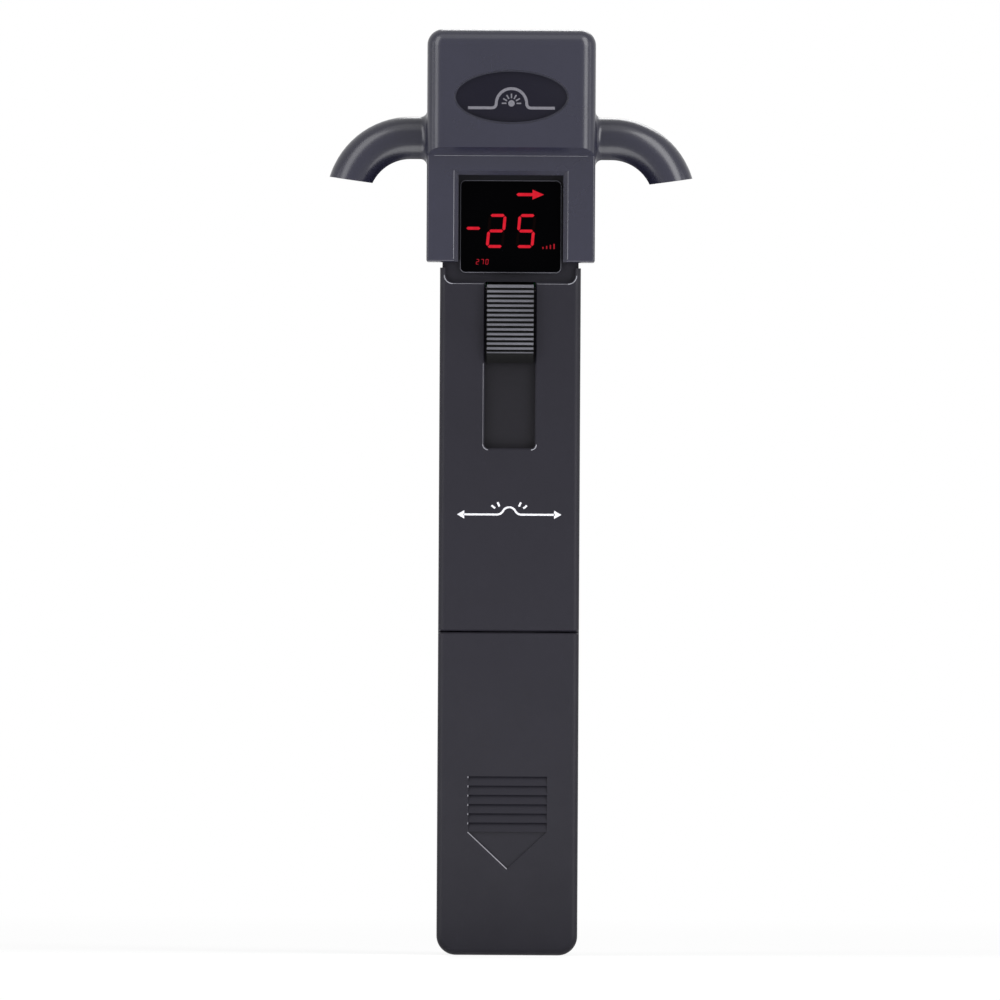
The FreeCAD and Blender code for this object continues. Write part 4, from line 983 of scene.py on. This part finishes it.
@dataclass
class ReadOut:
    """Red bars in the dark window's face: a sign and two digits, an arrow, a small count and a level mark."""

    paints: Paintbox
    digits: tuple[int, int] = (2, 5)
    digit_places: Pair = (-3.15 * MM, 3.3 * MM)
    digit_height: float = 156.8 * MM
    half_wide: float = 1.62 * MM
    half_high: float = 3.36 * MM
    bar_width: float = 0.62 * MM
    bar_gap: float = 0.24 * MM
    lean: float = 0.09
    sign_place: Pair = (-8.1 * MM, 157.35 * MM)
    sign_length: float = 3.0 * MM
    shaft_place: Pair = (3.2 * MM, 164.7 * MM)
    shaft_size: Pair = (4.0 * MM, 0.66 * MM)
    head_place: Pair = (5.5 * MM, 164.7 * MM)
    head_radius: float = 1.22 * MM
    head_stretch: float = 1.35
    halo_spread: float = 0.18 * MM
    halo_sink: float = 0.012 * MM
    count: tuple[int, ...] = (2, 7, 0)
    count_place: Pair = (-7.15 * MM, 150.1 * MM)
    count_pitch: float = 1.02 * MM
    count_scale: float = 0.155
    count_spread: float = 0.3 * MM
    level_bars: int = 4
    level_place: Pair = (7.0 * MM, 153.0 * MM)
    level_pitch: float = 0.8 * MM
    level_height: float = 0.35 * MM
    level_rise: float = 0.22 * MM
    level_width: float = 0.28 * MM
    level_points: float = 0.2 * MM
    proud: float = 0.03 * MM
    depth: float = 0.09 * MM

    def place(self, across: float, height: float, scale: float = 1.0, standing: bool = False) -> Matrix:
        """Finds where a bar lies on the window.

        Args:
            across: Place in X.
            height: Place in Z.
            scale: Size against a large digit's bar.
            standing: Whether the bar stands up.

        Returns:
            The matrix of the bar's place.
        """
        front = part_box("display_window")[0].y - self.proud
        turn = Matrix.Rotation(QUARTER if standing else 0.0, 4, "Y")
        return Matrix.Translation((across, front, height)) @ turn @ Matrix.Scale(scale, 4)

    def digit(
        self,
        mesh: bmesh.types.BMesh,
        strokes: set[Stroke],
        middle: Pair,
        scale: float = 1.0,
        spread: float = 0.0,
    ) -> None:
        """Adds the bars of one leaning digit.

        Args:
            mesh: Mesh to add to.
            strokes: Bars to draw.
            middle: Place of the digit's middle in X and Z.
            scale: Size against a large digit.
            spread: Extra width of the bars.
        """
        known = set(mesh.verts)
        for stroke in strokes:
            across, up, standing = stroke.value
            length = (self.half_high if standing else 2 * self.half_wide) - self.bar_gap + spread
            place = self.place(across * self.half_wide * scale, up * self.half_high * scale, scale, standing)
            bar(mesh, length, self.bar_width + spread, place)
        shear = Matrix.Identity(4)
        shear[0][2] = self.lean
        fresh = [vert for vert in mesh.verts if vert not in known]
        bmesh.ops.transform(mesh, matrix=Matrix.Translation((middle[0], 0.0, middle[1])) @ shear, verts=fresh)

    def finish(self, mesh: bmesh.types.BMesh, name: str, finish: Finish, sink: float = 0.0) -> None:
        """Gives the bars their thickness and sets them in the window.

        Args:
            mesh: Flat bars.
            name: Name of the piece.
            finish: Its finish.
            sink: Distance that it lies behind the lit bars.
        """
        thicken(mesh, self.depth)
        bmesh.ops.translate(mesh, verts=mesh.verts[:], vec=-FRONT * sink)
        settle(mesh, name, self.paints.material(finish), Body.HOUSING)

    def reading(self, spread: float = 0.0) -> bmesh.types.BMesh:
        """Draws the sign, the two digits and the arrow.

        Args:
            spread: Extra width of the bars.

        Returns:
            The flat bars.
        """
        mesh = bmesh.new()
        for value, across in zip(self.digits, self.digit_places):
            self.digit(mesh, set(Stroke) - DIGIT_GAPS[value], (across, self.digit_height), spread=spread)
        bar(mesh, self.sign_length + spread, self.bar_width + spread, self.place(*self.sign_place))
        length, width = self.shaft_size
        bar(mesh, length + spread, width + spread, self.place(*self.shaft_place))
        head = self.place(*self.head_place) @ Matrix.Diagonal((self.head_stretch, 1.0, 1.0, 1.0))
        polygon(mesh, TRIANGLE, self.head_radius + spread, head)
        return mesh

    def unlit(self) -> bmesh.types.BMesh:
        """Draws the bars of the two digits that aren't lit.

        Returns:
            The flat bars.
        """
        mesh = bmesh.new()
        for value, across in zip(self.digits, self.digit_places):
            self.digit(mesh, DIGIT_GAPS[value], (across, self.digit_height))
        return mesh

    def small_count(self) -> bmesh.types.BMesh:
        """Draws the small count in the lower left corner.

        Returns:
            The flat bars.
        """
        mesh = bmesh.new()
        across, height = self.count_place
        for index, value in enumerate(self.count):
            middle = (across + self.count_pitch * index, height)
            self.digit(mesh, set(Stroke) - DIGIT_GAPS[value], middle, self.count_scale, self.count_spread)
        return mesh

    def level_mark(self) -> bmesh.types.BMesh:
        """Draws the rising bars beside the reading.

        Returns:
            The flat bars.
        """
        mesh = bmesh.new()
        across, foot = self.level_place
        for index in range(self.level_bars):
            tall = self.level_height + self.level_rise * index
            matrix = self.place(across + self.level_pitch * index, foot + tall / 2, standing=True)
            bar(mesh, tall + self.level_points, self.level_width, matrix)
        return mesh

    def build(self) -> None:
        """Builds the lit bars, their halo, the unlit bars and the small marks."""
        self.finish(self.reading(), "readout_bars", LIT)
        self.finish(self.reading(self.halo_spread), "readout_halo", HALO, self.halo_sink)
        self.finish(self.unlit(), "readout_unlit_bars", UNLIT)
        self.finish(self.small_count(), "readout_count", DIM)
        self.finish(self.level_mark(), "readout_level_mark", DIM)


# Printed marks and painted edge highlights


@dataclass
class FrontPrint:
    """White pictogram on the front cover: a fibre bent over a hump, with an arrow at each end."""

    paints: Paintbox
    height: float = 95.4 * MM
    half_wide: float = 11.2 * MM
    width: float = 0.42 * MM
    hump: float = 1.5 * MM
    bend: float = math.radians(62)
    line_end: float = 1.3 * MM
    tip_end: float = 0.95 * MM
    tip_radius: float = 1.05 * MM
    ray_leans: Pair = (0.45, 0.9)
    ray_place: Pair = (2.1 * MM, 1.75 * MM)
    ray_step: Pair = (0.95 * MM, -0.4 * MM)
    ray_length: float = 1.0 * MM
    proud: float = 0.02 * MM
    depth: float = 0.06 * MM

    def fibre(self, mesh: bmesh.types.BMesh, pen: Pen) -> None:
        """Draws the fibre from each end to the top of the hump, and its arrow tips.

        Args:
            mesh: Mesh to add to.
            pen: Pen to draw with.
        """
        flare = 2 * self.hump * math.sin(self.bend)
        for facing in (0.0, math.pi):
            side = math.cos(facing)
            pen.start(side * (self.half_wide - self.line_end), self.height, math.pi - facing)
            pen.run(self.half_wide - flare - self.line_end)
            pen.turn(self.hump, -side * self.bend)
            pen.turn(self.hump, side * self.bend)
            tip = Matrix.Translation((side * (self.half_wide - self.tip_end), pen.level, self.height))
            polygon(mesh, TRIANGLE, self.tip_radius, tip @ Matrix.Rotation(facing, 4, "Y"))

    def rays(self, pen: Pen) -> None:
        """Draws the light that leaves the bend.

        Args:
            pen: Pen to draw with.
        """
        for side in SIDES:
            for index, lean in enumerate(self.ray_leans):
                across, up = (place + index * step for place, step in zip(self.ray_place, self.ray_step))
                pen.start(side * across, self.height + up, QUARTER - side * lean)
                pen.run(self.ray_length)

    def build(self) -> None:
        """Draws the fibre, its arrows and the light that leaves the bend."""
        mesh = bmesh.new()
        pen = Pen(mesh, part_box("front_cover")[0].y - self.proud, self.width)
        self.fibre(mesh, pen)
        self.rays(pen)
        thicken(mesh, self.depth)
        settle(mesh, "front_pictogram", self.paints.material(WHITE_INK), Body.HOUSING)


@dataclass
class EdgeHighlightStrips:
    """Painted highlights: thin pale strips along the moulded edges of the cover, the door and the hood, where
    light would catch them.

    The recess and the track each have a half width, a foot and a corner radius. The arrow has a half width, a
    top and a height, the notch a half width, a foot and a top, and the brow a half width and a foot.
    """

    paints: Paintbox
    broad: float = 0.2 * MM
    fine: float = 0.07 * MM
    proud: float = 0.02 * MM
    depth: float = 0.06 * MM
    recess: Triple = (14.35 * MM, 145.35 * MM, 1.85 * MM)
    track: Triple = (5.8 * MM, 109.41 * MM, 1.15 * MM)
    corner_steps: int = 6
    arrow: Triple = (8.5 * MM, 26.7 * MM, 7.95 * MM)
    steps: int = 6
    step_pitch: float = 2.0 * MM
    notch: Triple = (12.35 * MM, 150.7 * MM, 169.9 * MM)
    brow: Pair = (16.6 * MM, 173.05 * MM)
    brow_depth: float = 2.4 * MM

    def corner(self, pen: Pen, rim: Triple, side: int) -> None:
        """Draws round one lower corner of a rim.

        Args:
            pen: Pen to draw with.
            rim: Half width, foot and corner radius of the rim.
            side: -1 for the left corner and 1 for the right.
        """
        half, foot, radius = rim
        pen.start(side * half, foot + radius, -QUARTER)
        pen.turn(radius, -side * QUARTER, self.corner_steps)

    def cover(self, front: float) -> None:
        """Draws the painted highlights along the rims of the recess and the track on the front cover.

        Args:
            front: Place of the cover's face in Y.
        """
        mesh = bmesh.new()
        broad, fine = Pen(mesh, front, self.broad), Pen(mesh, front, self.fine)
        for side in SIDES:
            self.corner(broad, self.recess, side)
            self.corner(broad, self.track, side)
            half, foot, radius = self.recess
            fine.start(side * (half - radius), foot, math.pi if side > 0 else 0.0)
            fine.run(half - radius - self.track[0])
        half, foot, radius = self.track
        fine.start(-half, foot + radius, QUARTER)
        fine.run(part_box("thumb_slider")[0].z - foot - radius)
        thicken(mesh, self.depth)
        settle(mesh, "painted_highlight_cover_rims", self.paints.material(PAINTED_EDGE_HIGHLIGHT), Body.HOUSING)

    def door(self, front: float) -> None:
        """Draws painted highlights along the left edge of the arrow and of the steps above it on the door.

        Args:
            front: Place of the door's face in Y.
        """
        mesh = bmesh.new()
        half, top, height = self.arrow
        pen = Pen(mesh, front, self.broad)
        pen.start(-half - self.broad / 2, top - self.broad / 2, math.atan2(-height, half))
        pen.run(math.hypot(half, height))
        for index in range(self.steps):
            pen.start(-half - self.broad / 2, top + (index + 1) * self.step_pitch, -QUARTER)
            pen.run(2 * self.broad)
        thicken(mesh, self.depth)
        settle(mesh, "painted_highlight_door_edges", self.paints.material(PAINTED_EDGE_HIGHLIGHT), Body.DOOR)

    def hood(self, front: float) -> None:
        """Draws painted highlights along the sides of the notch and the foot of the brow on the hood.

        Args:
            front: Place of the face round the notch in Y.
        """
        mesh = bmesh.new()
        half, foot, top = self.notch
        for side, width in zip(SIDES, (self.broad / 2, self.fine)):
            pen = Pen(mesh, front, width)
            pen.start(side * half, foot, QUARTER)
            pen.run(top - foot)
        half, foot = self.brow
        pen = Pen(mesh, front, self.fine)
        pen.start(-half, foot, 0.0)
        pen.run(2 * half)
        thicken(mesh, self.depth)
        settle(mesh, "painted_highlight_hood_edges", self.paints.material(PAINTED_EDGE_HIGHLIGHT), Body.HOOD)

    def build(self) -> None:
        """Draws the painted edge highlights of the cover, the door and the hood."""
        self.cover(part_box("front_cover")[0].y - self.proud)
        self.door(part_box("battery_door")[0].y - self.proud)
        self.hood(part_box("light_hood")[0].y + self.brow_depth - self.proud)


@dataclass
class HoodEmblem:
    """Grey pictogram in the hood's oval: a cover over a lamp, with the fibre on both sides."""

    paints: Paintbox
    middle: float = 185.8 * MM
    foot: float = 183.4 * MM
    oval: Pair = (12.0 * MM, 5.45 * MM)
    floor: float = 0.7 * MM
    plate_depth: float = 0.1 * MM
    plate_round: float = 0.02 * MM
    plate_sides: int = 96
    radius: float = 3.3 * MM
    arch_steps: int = 28
    fillet: float = 0.9 * MM
    fillet_steps: int = 6
    width: float = 0.62 * MM
    half_wide: float = 9.4 * MM
    lamp_lift: float = 1.0 * MM
    lamp_radius: float = 0.7 * MM
    lamp_sides: int = 24
    rays: int = 7
    ray_gap: float = 1.1 * MM
    ray_length: float = 1.0 * MM
    ray_width: float = 0.3 * MM
    proud: float = 0.02 * MM
    depth: float = 0.06 * MM

    def plate(self, front: float) -> None:
        """Lays the dark plate on the floor of the oval.

        Args:
            front: Place of its face in Y.
        """
        mesh = bmesh.new()
        across, up = self.oval
        place = Matrix.Translation((0.0, front, self.middle)) @ Matrix.Diagonal((across, 1.0, up, 1.0))
        polygon(mesh, self.plate_sides, 1.0, place)
        rim = list(mesh.edges)
        thicken(mesh, self.plate_depth)
        bmesh.ops.bevel(
            mesh, geom=rim, offset=self.plate_round, affect="EDGES", segments=2, profile=0.5, material=-1
        )
        settle(mesh, "hood_oval_plate", self.paints.material(OVAL_PLASTIC), Body.HOOD)

    def arch(self, pen: Pen) -> None:
        """Draws the fibre from left to right, over the lamp as the cover's arch.

        Args:
            pen: Pen to draw with.
        """
        straight = self.half_wide - self.radius - self.fillet
        pen.start(-self.half_wide, self.foot, 0.0)
        pen.run(straight)
        pen.turn(self.fillet, QUARTER, self.fillet_steps)
        pen.turn(self.radius, -math.pi, self.arch_steps)
        pen.turn(self.fillet, QUARTER, self.fillet_steps)
        pen.run(straight)

    def lamp(self, mesh: bmesh.types.BMesh, front: float) -> None:
        """Draws the lamp and the rays over its upper half.

        Args:
            mesh: Mesh to add to.
            front: Place of the ink's face in Y.
        """
        middle = Vector((0.0, front, self.foot + self.lamp_lift))
        polygon(mesh, self.lamp_sides, self.lamp_radius, Matrix.Translation(middle))
        pen = Pen(mesh, front, self.ray_width)
        for index in range(self.rays):
            angle = math.pi * index / (self.rays - 1)
            ray = Vector((math.cos(angle), 0.0, math.sin(angle)))
            pen.start(*(middle + ray * self.ray_gap).xz, angle)
            pen.run(self.ray_length)

    def build(self) -> None:
        """Lays the plate, and prints the arch and the lamp on it."""
        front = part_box("light_hood")[0].y + self.floor - self.proud
        self.plate(front)
        front -= self.proud
        mesh = bmesh.new()
        self.arch(Pen(mesh, front, self.width))
        self.lamp(mesh, front)
        thicken(mesh, self.depth)
        settle(mesh, "hood_pictogram", self.paints.material(GREY_INK), Body.HOOD)


# Moving and turned pieces


@dataclass
class ThumbGrip:
    """Thumb slider with a ramp at its foot and rounded ribs across its face."""

    paints: Paintbox
    ribs: int = 14
    pitch: float = 1.03 * MM
    groove: float = 0.5 * MM
    groove_depth: float = 0.7 * MM
    groove_draft: float = 0.06 * MM
    ramp: float = 2.4 * MM
    ramp_rise: float = 2.5 * MM
    crown: float = 0.2 * MM
    face_reach: float = 0.01 * MM
    # Crest colour: thumb wear and a painted highlight; shadow colour: painted shade in the grooves and down
    # the ramp.
    crest_wear_and_sheen: Colour = tint(86, 86, 92)
    shadow: Colour = tint(6, 6, 7)

    def profile(self) -> list[Pair]:
        """Lists the corners of the side view.

        Returns:
            Places in Y and Z, round the slider.
        """
        low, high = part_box("thumb_slider")
        face, floor = low.y, low.y + self.groove_depth
        outline = [(high.y, low.z), (face + self.ramp_rise, low.z), (face, low.z + self.ramp)]
        for index in range(self.ribs):
            foot = low.z + self.ramp + index * self.pitch
            if index:
                outline.append((face, foot))
            outline.append((floor, foot + self.groove_draft))
            outline.append((floor, foot + self.groove - self.groove_draft))
            outline.append((face, foot + self.groove))
        outline += [(face, high.z), (high.y, high.z)]
        return outline

    def build(self) -> None:
        """Extrudes the side view across and rounds the ribs."""
        low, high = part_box("thumb_slider")
        mesh = bmesh.new()
        side = mesh.faces.new([mesh.verts.new((low.x, *corner)) for corner in self.profile()])
        grown = bmesh.ops.extrude_face_region(mesh, geom=[side])["geom"]
        bmesh.ops.translate(mesh, verts=verts_of(grown), vec=(high.x - low.x, 0.0, 0.0))
        bmesh.ops.recalc_face_normals(mesh, faces=mesh.faces)
        on_face = {vert for vert in mesh.verts if abs(vert.co.y - low.y) < self.face_reach}
        crests = [edge for edge in mesh.edges if on_face.issuperset(edge.verts)]
        bmesh.ops.bevel(
            mesh, geom=crests, offset=self.crown, affect="EDGES", segments=3, profile=0.5, material=-1,
            clamp_overlap=True
        )
        finish = WornAndShadedRibs("worn_and_shaded_grip", self.crest_wear_and_sheen, self.shadow, low.y)
        piece = settle(mesh, "ribbed_thumb_grip", self.paints.material(finish), Body.CARRIAGE)
        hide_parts("thumb_slider")


@dataclass
class ScrewSet:
    """Pan-head screws with a cross recess, one at each corner or end of the node that they stand for.

    The tip has a share of the shank's radius and a length. Each step of the crown has shares of the head's
    radius and of the dome's drop.
    """

    paints: Paintbox
    node: str
    name: str
    facing: Axis
    head_radius: float
    head_height: float
    shank_radius: float
    recess: float
    tip: Pair = (0.45, 0.6 * MM)
    dome: float = 0.35
    crown: tuple[Pair, ...] = ((1.0, 1.0), (0.93, 0.45), (0.72, 0.1), (0.0, 0.0))
    recess_depth: float = 0.7
    recess_width: float = 0.3
    recess_taper: float = 0.6
    turns: Pair = (0.35, 0.9)
    sides: int = 36

    def centres(self) -> list[Vector]:
        """Finds the tops of the heads.

        Returns:
            The middle of each head's top.
        """
        low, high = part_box(self.node)
        inset = Vector((self.head_radius,) * 3)
        inner, outer = low + inset, high - inset
        if self.facing is Axis.BACK:
            return [Vector((x, high.y, z)) for x in (inner.x, outer.x) for z in (inner.z, outer.z)]
        return [Vector((x, (low.y + high.y) / 2, high.z)) for x in (inner.x, outer.x)]

    def length(self) -> float:
        """Length of a screw from its tip to the top of its head."""
        low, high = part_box(self.node)
        return (high - low).dot(Vector(self.facing.value))

    def blank(self) -> bmesh.types.BMesh:
        """Turns one screw whose head's top is at the origin and faces +Z.

        Returns:
            The turned screw, before its recess is cut.
        """
        length, drop = self.length(), self.dome * self.head_height
        blunt, point = self.tip
        outline = [
            (0.0, -length), (blunt * self.shank_radius, -length), (self.shank_radius, point - length),
            (self.shank_radius, -self.head_height), (self.head_radius, -self.head_height),
        ]
        outline += [(across * self.head_radius, -down * drop) for across, down in self.crown]
        mesh = bmesh.new()
        points = [mesh.verts.new((radius, 0.0, height)) for radius, height in outline]
        edges = [mesh.edges.new(pair) for pair in zip(points, points[1:])]
        bmesh.ops.spin(
            mesh, geom=points + edges, cent=(0, 0, 0), axis=Axis.UP.value, angle=math.tau, steps=self.sides,
            use_merge=True
        )
        bmesh.ops.remove_doubles(mesh, verts=mesh.verts, dist=2 * MERGE_BELOW)
        bmesh.ops.recalc_face_normals(mesh, faces=mesh.faces)
        return mesh

    def cross(self) -> bmesh.types.BMesh:
        """Makes the tapered cross that cuts the recess.

        Returns:
            The cutter, round the head's top.
        """
        mesh = bmesh.new()
        depth = self.recess_depth * self.head_height
        size = Matrix.Diagonal((2 * self.recess, self.recess_width * self.recess, 2 * depth, 1.0))
        for turn in (0.0, QUARTER):
            arm = bmesh.ops.create_cube(mesh, size=1.0, matrix=Matrix.Rotation(turn, 4, "Z") @ size)["verts"]
            deep = [vert for vert in arm if vert.co.z < 0]
            bmesh.ops.scale(mesh, verts=deep, vec=(self.recess_taper, self.recess_taper, 1.0))
        return mesh

    def cut(self) -> bpy.types.Mesh:
        """Cuts the recess into one screw.

        Returns:
            The mesh of the finished screw at the origin.
        """
        held = []
        for shape in (self.blank(), self.cross()):
            data = bpy.data.meshes.new("screw_work")
            shape.to_mesh(data)
            shape.free()
            work = bpy.data.objects.new("screw_work", data)
            bpy.context.scene.collection.objects.link(work)
            held.append(work)
        blank, cutter = held
        recess = blank.modifiers.new("recess", "BOOLEAN")
        recess.operation = "DIFFERENCE"
        recess.solver = "EXACT"
        recess.use_self = True
        recess.object = cutter
        graph = bpy.context.evaluated_depsgraph_get()
        result = bpy.data.meshes.new_from_object(blank.evaluated_get(graph))
        for work in held:
            bpy.data.objects.remove(work)
        return result

    def build(self) -> None:
        """Places a screw at each centre, each turned to a rest of its own."""
        screw = self.cut()
        aim = Vector(Axis.UP.value).rotation_difference(Vector(self.facing.value)).to_matrix().to_4x4()
        first, step = self.turns
        mesh = bmesh.new()
        for index, centre in enumerate(self.centres()):
            known = set(mesh.verts)
            mesh.from_mesh(screw)
            fresh = [vert for vert in mesh.verts if vert not in known]
            turn = Matrix.Rotation(first + step * index, 4, "Z")
            bmesh.ops.transform(mesh, matrix=Matrix.Translation(centre) @ aim @ turn, verts=fresh)
        bpy.data.meshes.remove(screw)
        piece = settle(mesh, self.name, self.paints.material(DARK_STEEL), Body.HOUSING)
        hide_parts(self.node)


@dataclass
class ReturnCoil:
    """Round-wire compression spring under the slide, with a closed turn at each end."""

    paints: Paintbox
    wire: float = 0.9 * MM
    wire_sides: int = 12
    active_turns: int = 6
    closed_wires: int = 3
    steps: int = 28
    joint: str = "thumb_slide"

    def build(self, travel: float) -> None:
        """Winds the coil from the foot up.

        Args:
            travel: Travel of the slide; not used.
        """
        low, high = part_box("return_spring")
        centre = Vector(((low.x + high.x) / 2, (low.y + high.y) / 2, low.z))
        radius = (high.x - low.x - self.wire) / 2
        length = high.z - low.z
        mesh = bmesh.new()
        start = Matrix.Translation(centre + Vector((radius, 0.0, self.wire / 2)))
        stand = Matrix.Rotation(QUARTER, 4, "X")
        bmesh.ops.create_circle(mesh, segments=self.wire_sides, radius=self.wire / 2, matrix=start @ stand)
        ring = [*mesh.verts, *mesh.edges]
        rise = (length - self.closed_wires * self.wire) / self.active_turns
        for turns, pitch in ((1, self.wire), (self.active_turns, rise), (1, self.wire)):
            made = bmesh.ops.spin(
                mesh, geom=ring, cent=centre, axis=Axis.UP.value, dvec=(0, 0, pitch / self.steps),
                angle=math.tau * turns, steps=turns * self.steps
            )
            ring = made["geom_last"]
        bmesh.ops.holes_fill(mesh, edges=[edge for edge in mesh.edges if edge.is_boundary])
        piece = settle(mesh, "round_wire_coil", self.paints.material(PLATED_STEEL), Body.HOUSING)
        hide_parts("return_spring")
        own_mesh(piece)


# Studio


@dataclass
class Viewpoint:
    """Long-lens camera square to the front, placed by what the picture covers there."""

    distance: float = 9.0
    picture: float = 216.5 * MM
    across: float = -2.0 * MM
    height: float = 98.55 * MM
    roll: float = math.radians(0.32)
    sensor: float = 36.0
    nearest: float = 0.05

    def build(self) -> None:
        """Creates the camera and makes it the scene's own."""
        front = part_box("front_cover")[0].y
        data = bpy.data.cameras.new("front_camera")
        data.sensor_fit = "HORIZONTAL"
        data.sensor_width = self.sensor
        data.lens = self.sensor * self.distance / self.picture
        data.clip_start = self.nearest
        camera = bpy.data.objects.new("front_camera", data)
        bpy.context.scene.collection.objects.link(camera)
        place = Matrix.Translation((self.across, front - self.distance, self.height))
        level = Matrix.Rotation(QUARTER, 4, "X")
        camera.matrix_world = place @ level @ Matrix.Rotation(self.roll, 4, "Z")
        bpy.context.scene.camera = camera


@dataclass
class Softbox:
    """Soft lamp that faces the middle of the instrument, or an aim of its own."""

    name: str
    place: Triple
    size: Pair
    power: float
    aim: Triple = (0.0, 0.0, 0.11)

    def build(self) -> None:
        """Hangs the lamp, out of the camera's sight."""
        data = bpy.data.lights.new(self.name, "AREA")
        data.shape = "RECTANGLE"
        data.size, data.size_y = self.size
        data.energy = self.power
        lamp = bpy.data.objects.new(self.name, data)
        lamp.location = self.place
        lamp.rotation_euler = (Vector(self.aim) - Vector(self.place)).to_track_quat("-Z", "Y").to_euler()
        lamp.visible_camera = False
        bpy.context.scene.collection.objects.link(lamp)


@dataclass
class Studio:
    """Pale bench that drops by a step under the door, soft lamps and a white surround."""

    reach: float = 25.0
    step: float = 12.0 * MM
    bench_colour: Colour = (0.86, 0.86, 0.86)
    bench_white: Pair = (0.87, 1.0)
    bench_fade: Pair = (0.1, 0.8)
    surround: float = 0.12
    lamps: tuple[Softbox, ...] = (
        Softbox("key_right", (0.80, -0.80, 0.75), (0.62, 1.5), 18.0),
        Softbox("key_left", (-0.85, -0.75, 0.75), (0.62, 1.5), 11.5),
        Softbox("rim_right", (1.1, -0.20, 0.30), (0.20, 0.6), 0.8),
        Softbox("rim_left", (-1.1, -0.20, 0.30), (0.20, 0.6), 0.8),
        Softbox("top", (0.0, -0.45, 1.2), (1.0, 0.7), 2.2),
        Softbox("low_front", (0.0, -0.16, 0.0), (0.6, 0.18), 1.1, (0.0, -0.159, 1.0)),
        Softbox("back", (0.2, 1.1, 0.9), (0.6, 0.5), 4.0),
    )

    def light_path(self, nodes: Nodes) -> Socket:
        """Finds the rays that see the white surround.

        Args:
            nodes: Nodes of the bench or the surround.

        Returns:
            1 for camera, glossy and transmission rays, and 0 for others.
        """
        path = nodes.add("LightPath", {}).outputs
        seen = nodes.sum(path["Is Camera Ray"], path["Is Glossy Ray"], "MAXIMUM")
        return nodes.sum(seen, path["Is Transmission Ray"], "MAXIMUM")

    def bench(self) -> None:
        """Makes the pale bench, which is lower in front of the parting line of the case."""
        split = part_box("rear_housing")[0].y
        mesh = bmesh.new()
        ends = [mesh.verts.new((side * self.reach, -self.reach, -self.step)) for side in SIDES]
        edge = mesh.edges.new(ends)
        for move in ((0, self.reach + split, 0), (0, 0, self.step), (0, self.reach - split, 0)):
            made = bmesh.ops.extrude_edge_only(mesh, edges=[edge])["geom"]
            bmesh.ops.translate(mesh, verts=verts_of(made), vec=move)
            edge = edge_of(made)
        data = bpy.data.meshes.new("bench")
        mesh.to_mesh(data)
        mesh.free()
        floor = bpy.data.objects.new("bench", data)
        bpy.context.scene.collection.objects.link(floor)
        data.materials.append(self.bench_material())

    def bench_material(self) -> bpy.types.Material:
        """Makes the bench's pale finish, near white to the camera, which keeps a soft shadow.

        Returns:
            The material.
        """
        material = bpy.data.materials.new("pale_bench")
        material.use_nodes = True
        nodes = Nodes(material.node_tree)
        nodes.tree.nodes.remove(nodes.tree.nodes["Principled BSDF"])
        matt = nodes.add("BsdfDiffuse", {"Color": self.bench_colour})
        white = nodes.add("Emission", {"Color": WHITE, "Strength": 1.0})
        place = nodes.add("TexCoord", {}).outputs["Object"]
        away = nodes.add("VectorMath", {0: place}, operation="LENGTH").outputs["Value"]
        share = nodes.scaled(self.light_path(nodes), nodes.span(away, *self.bench_white, *self.bench_fade))
        both = nodes.add("MixShader", {0: share, 1: matt.outputs[0], 2: white.outputs[0]})
        nodes.feed(nodes.tree.nodes["Material Output"].inputs["Surface"], both.outputs[0])
        return material

    def sky(self) -> None:
        """Makes the surround: white to see, and softer as a light."""
        world = bpy.data.worlds.new("white_surround")
        world.use_nodes = True
        bpy.context.scene.world = world
        nodes = Nodes(world.node_tree)
        soft = world.node_tree.nodes["Background"]
        nodes.feed(soft.inputs["Color"], WHITE)
        nodes.feed(soft.inputs["Strength"], self.surround)
        white = nodes.add("Background", {"Color": WHITE, "Strength": 1.0})
        both = nodes.add("MixShader", {0: self.light_path(nodes), 1: soft.outputs[0], 2: white.outputs[0]})
        nodes.feed(world.node_tree.nodes["World Output"].inputs["Surface"], both.outputs[0])

    def build(self) -> None:
        """Builds the bench, the lamps and the surround, and keeps the colours plain."""
        bpy.context.scene.view_settings.view_transform = "Standard"
        self.bench()
        self.sky()
        for lamp in self.lamps:
            lamp.build()


def clear_scene() -> None:
    """Removes what a new file holds."""
    for thing in list(bpy.data.objects):
        bpy.data.objects.remove(thing)


def main() -> None:
    """Loads the frame, dresses it, adds the finer pieces and sets the studio."""
    logging.basicConfig(level=logging.INFO, format="%(name)s: %(message)s")
    clear_scene()
    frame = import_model()
    paints = Paintbox()
    paints.dress_nodes(frame)
    Viewpoint().build()
    Studio().build()
    ReadOut(paints).build()
    FrontPrint(paints).build()
    EdgeHighlightStrips(paints).build()
    HoodEmblem(paints).build()
    ThumbGrip(paints).build()
    ScrewSet(
        paints, "housing_screws", "cross_case_screws", Axis.BACK,
        head_radius=2.1 * MM, head_height=1.6 * MM, shank_radius=1.1 * MM, recess=1.25 * MM,
    ).build()
    ScrewSet(
        paints, "anvil_screws", "cross_anvil_screws", Axis.UP,
        head_radius=1.6 * MM, head_height=0.9 * MM, shank_radius=0.8 * MM, recess=0.95 * MM,
    ).build()
    slide = next(joint for joint in frame["joints"] if joint["name"] == ReturnCoil.joint)
    ReturnCoil(paints).build(max(slide["range_m"]))


if __name__ == "__main__":
    main()
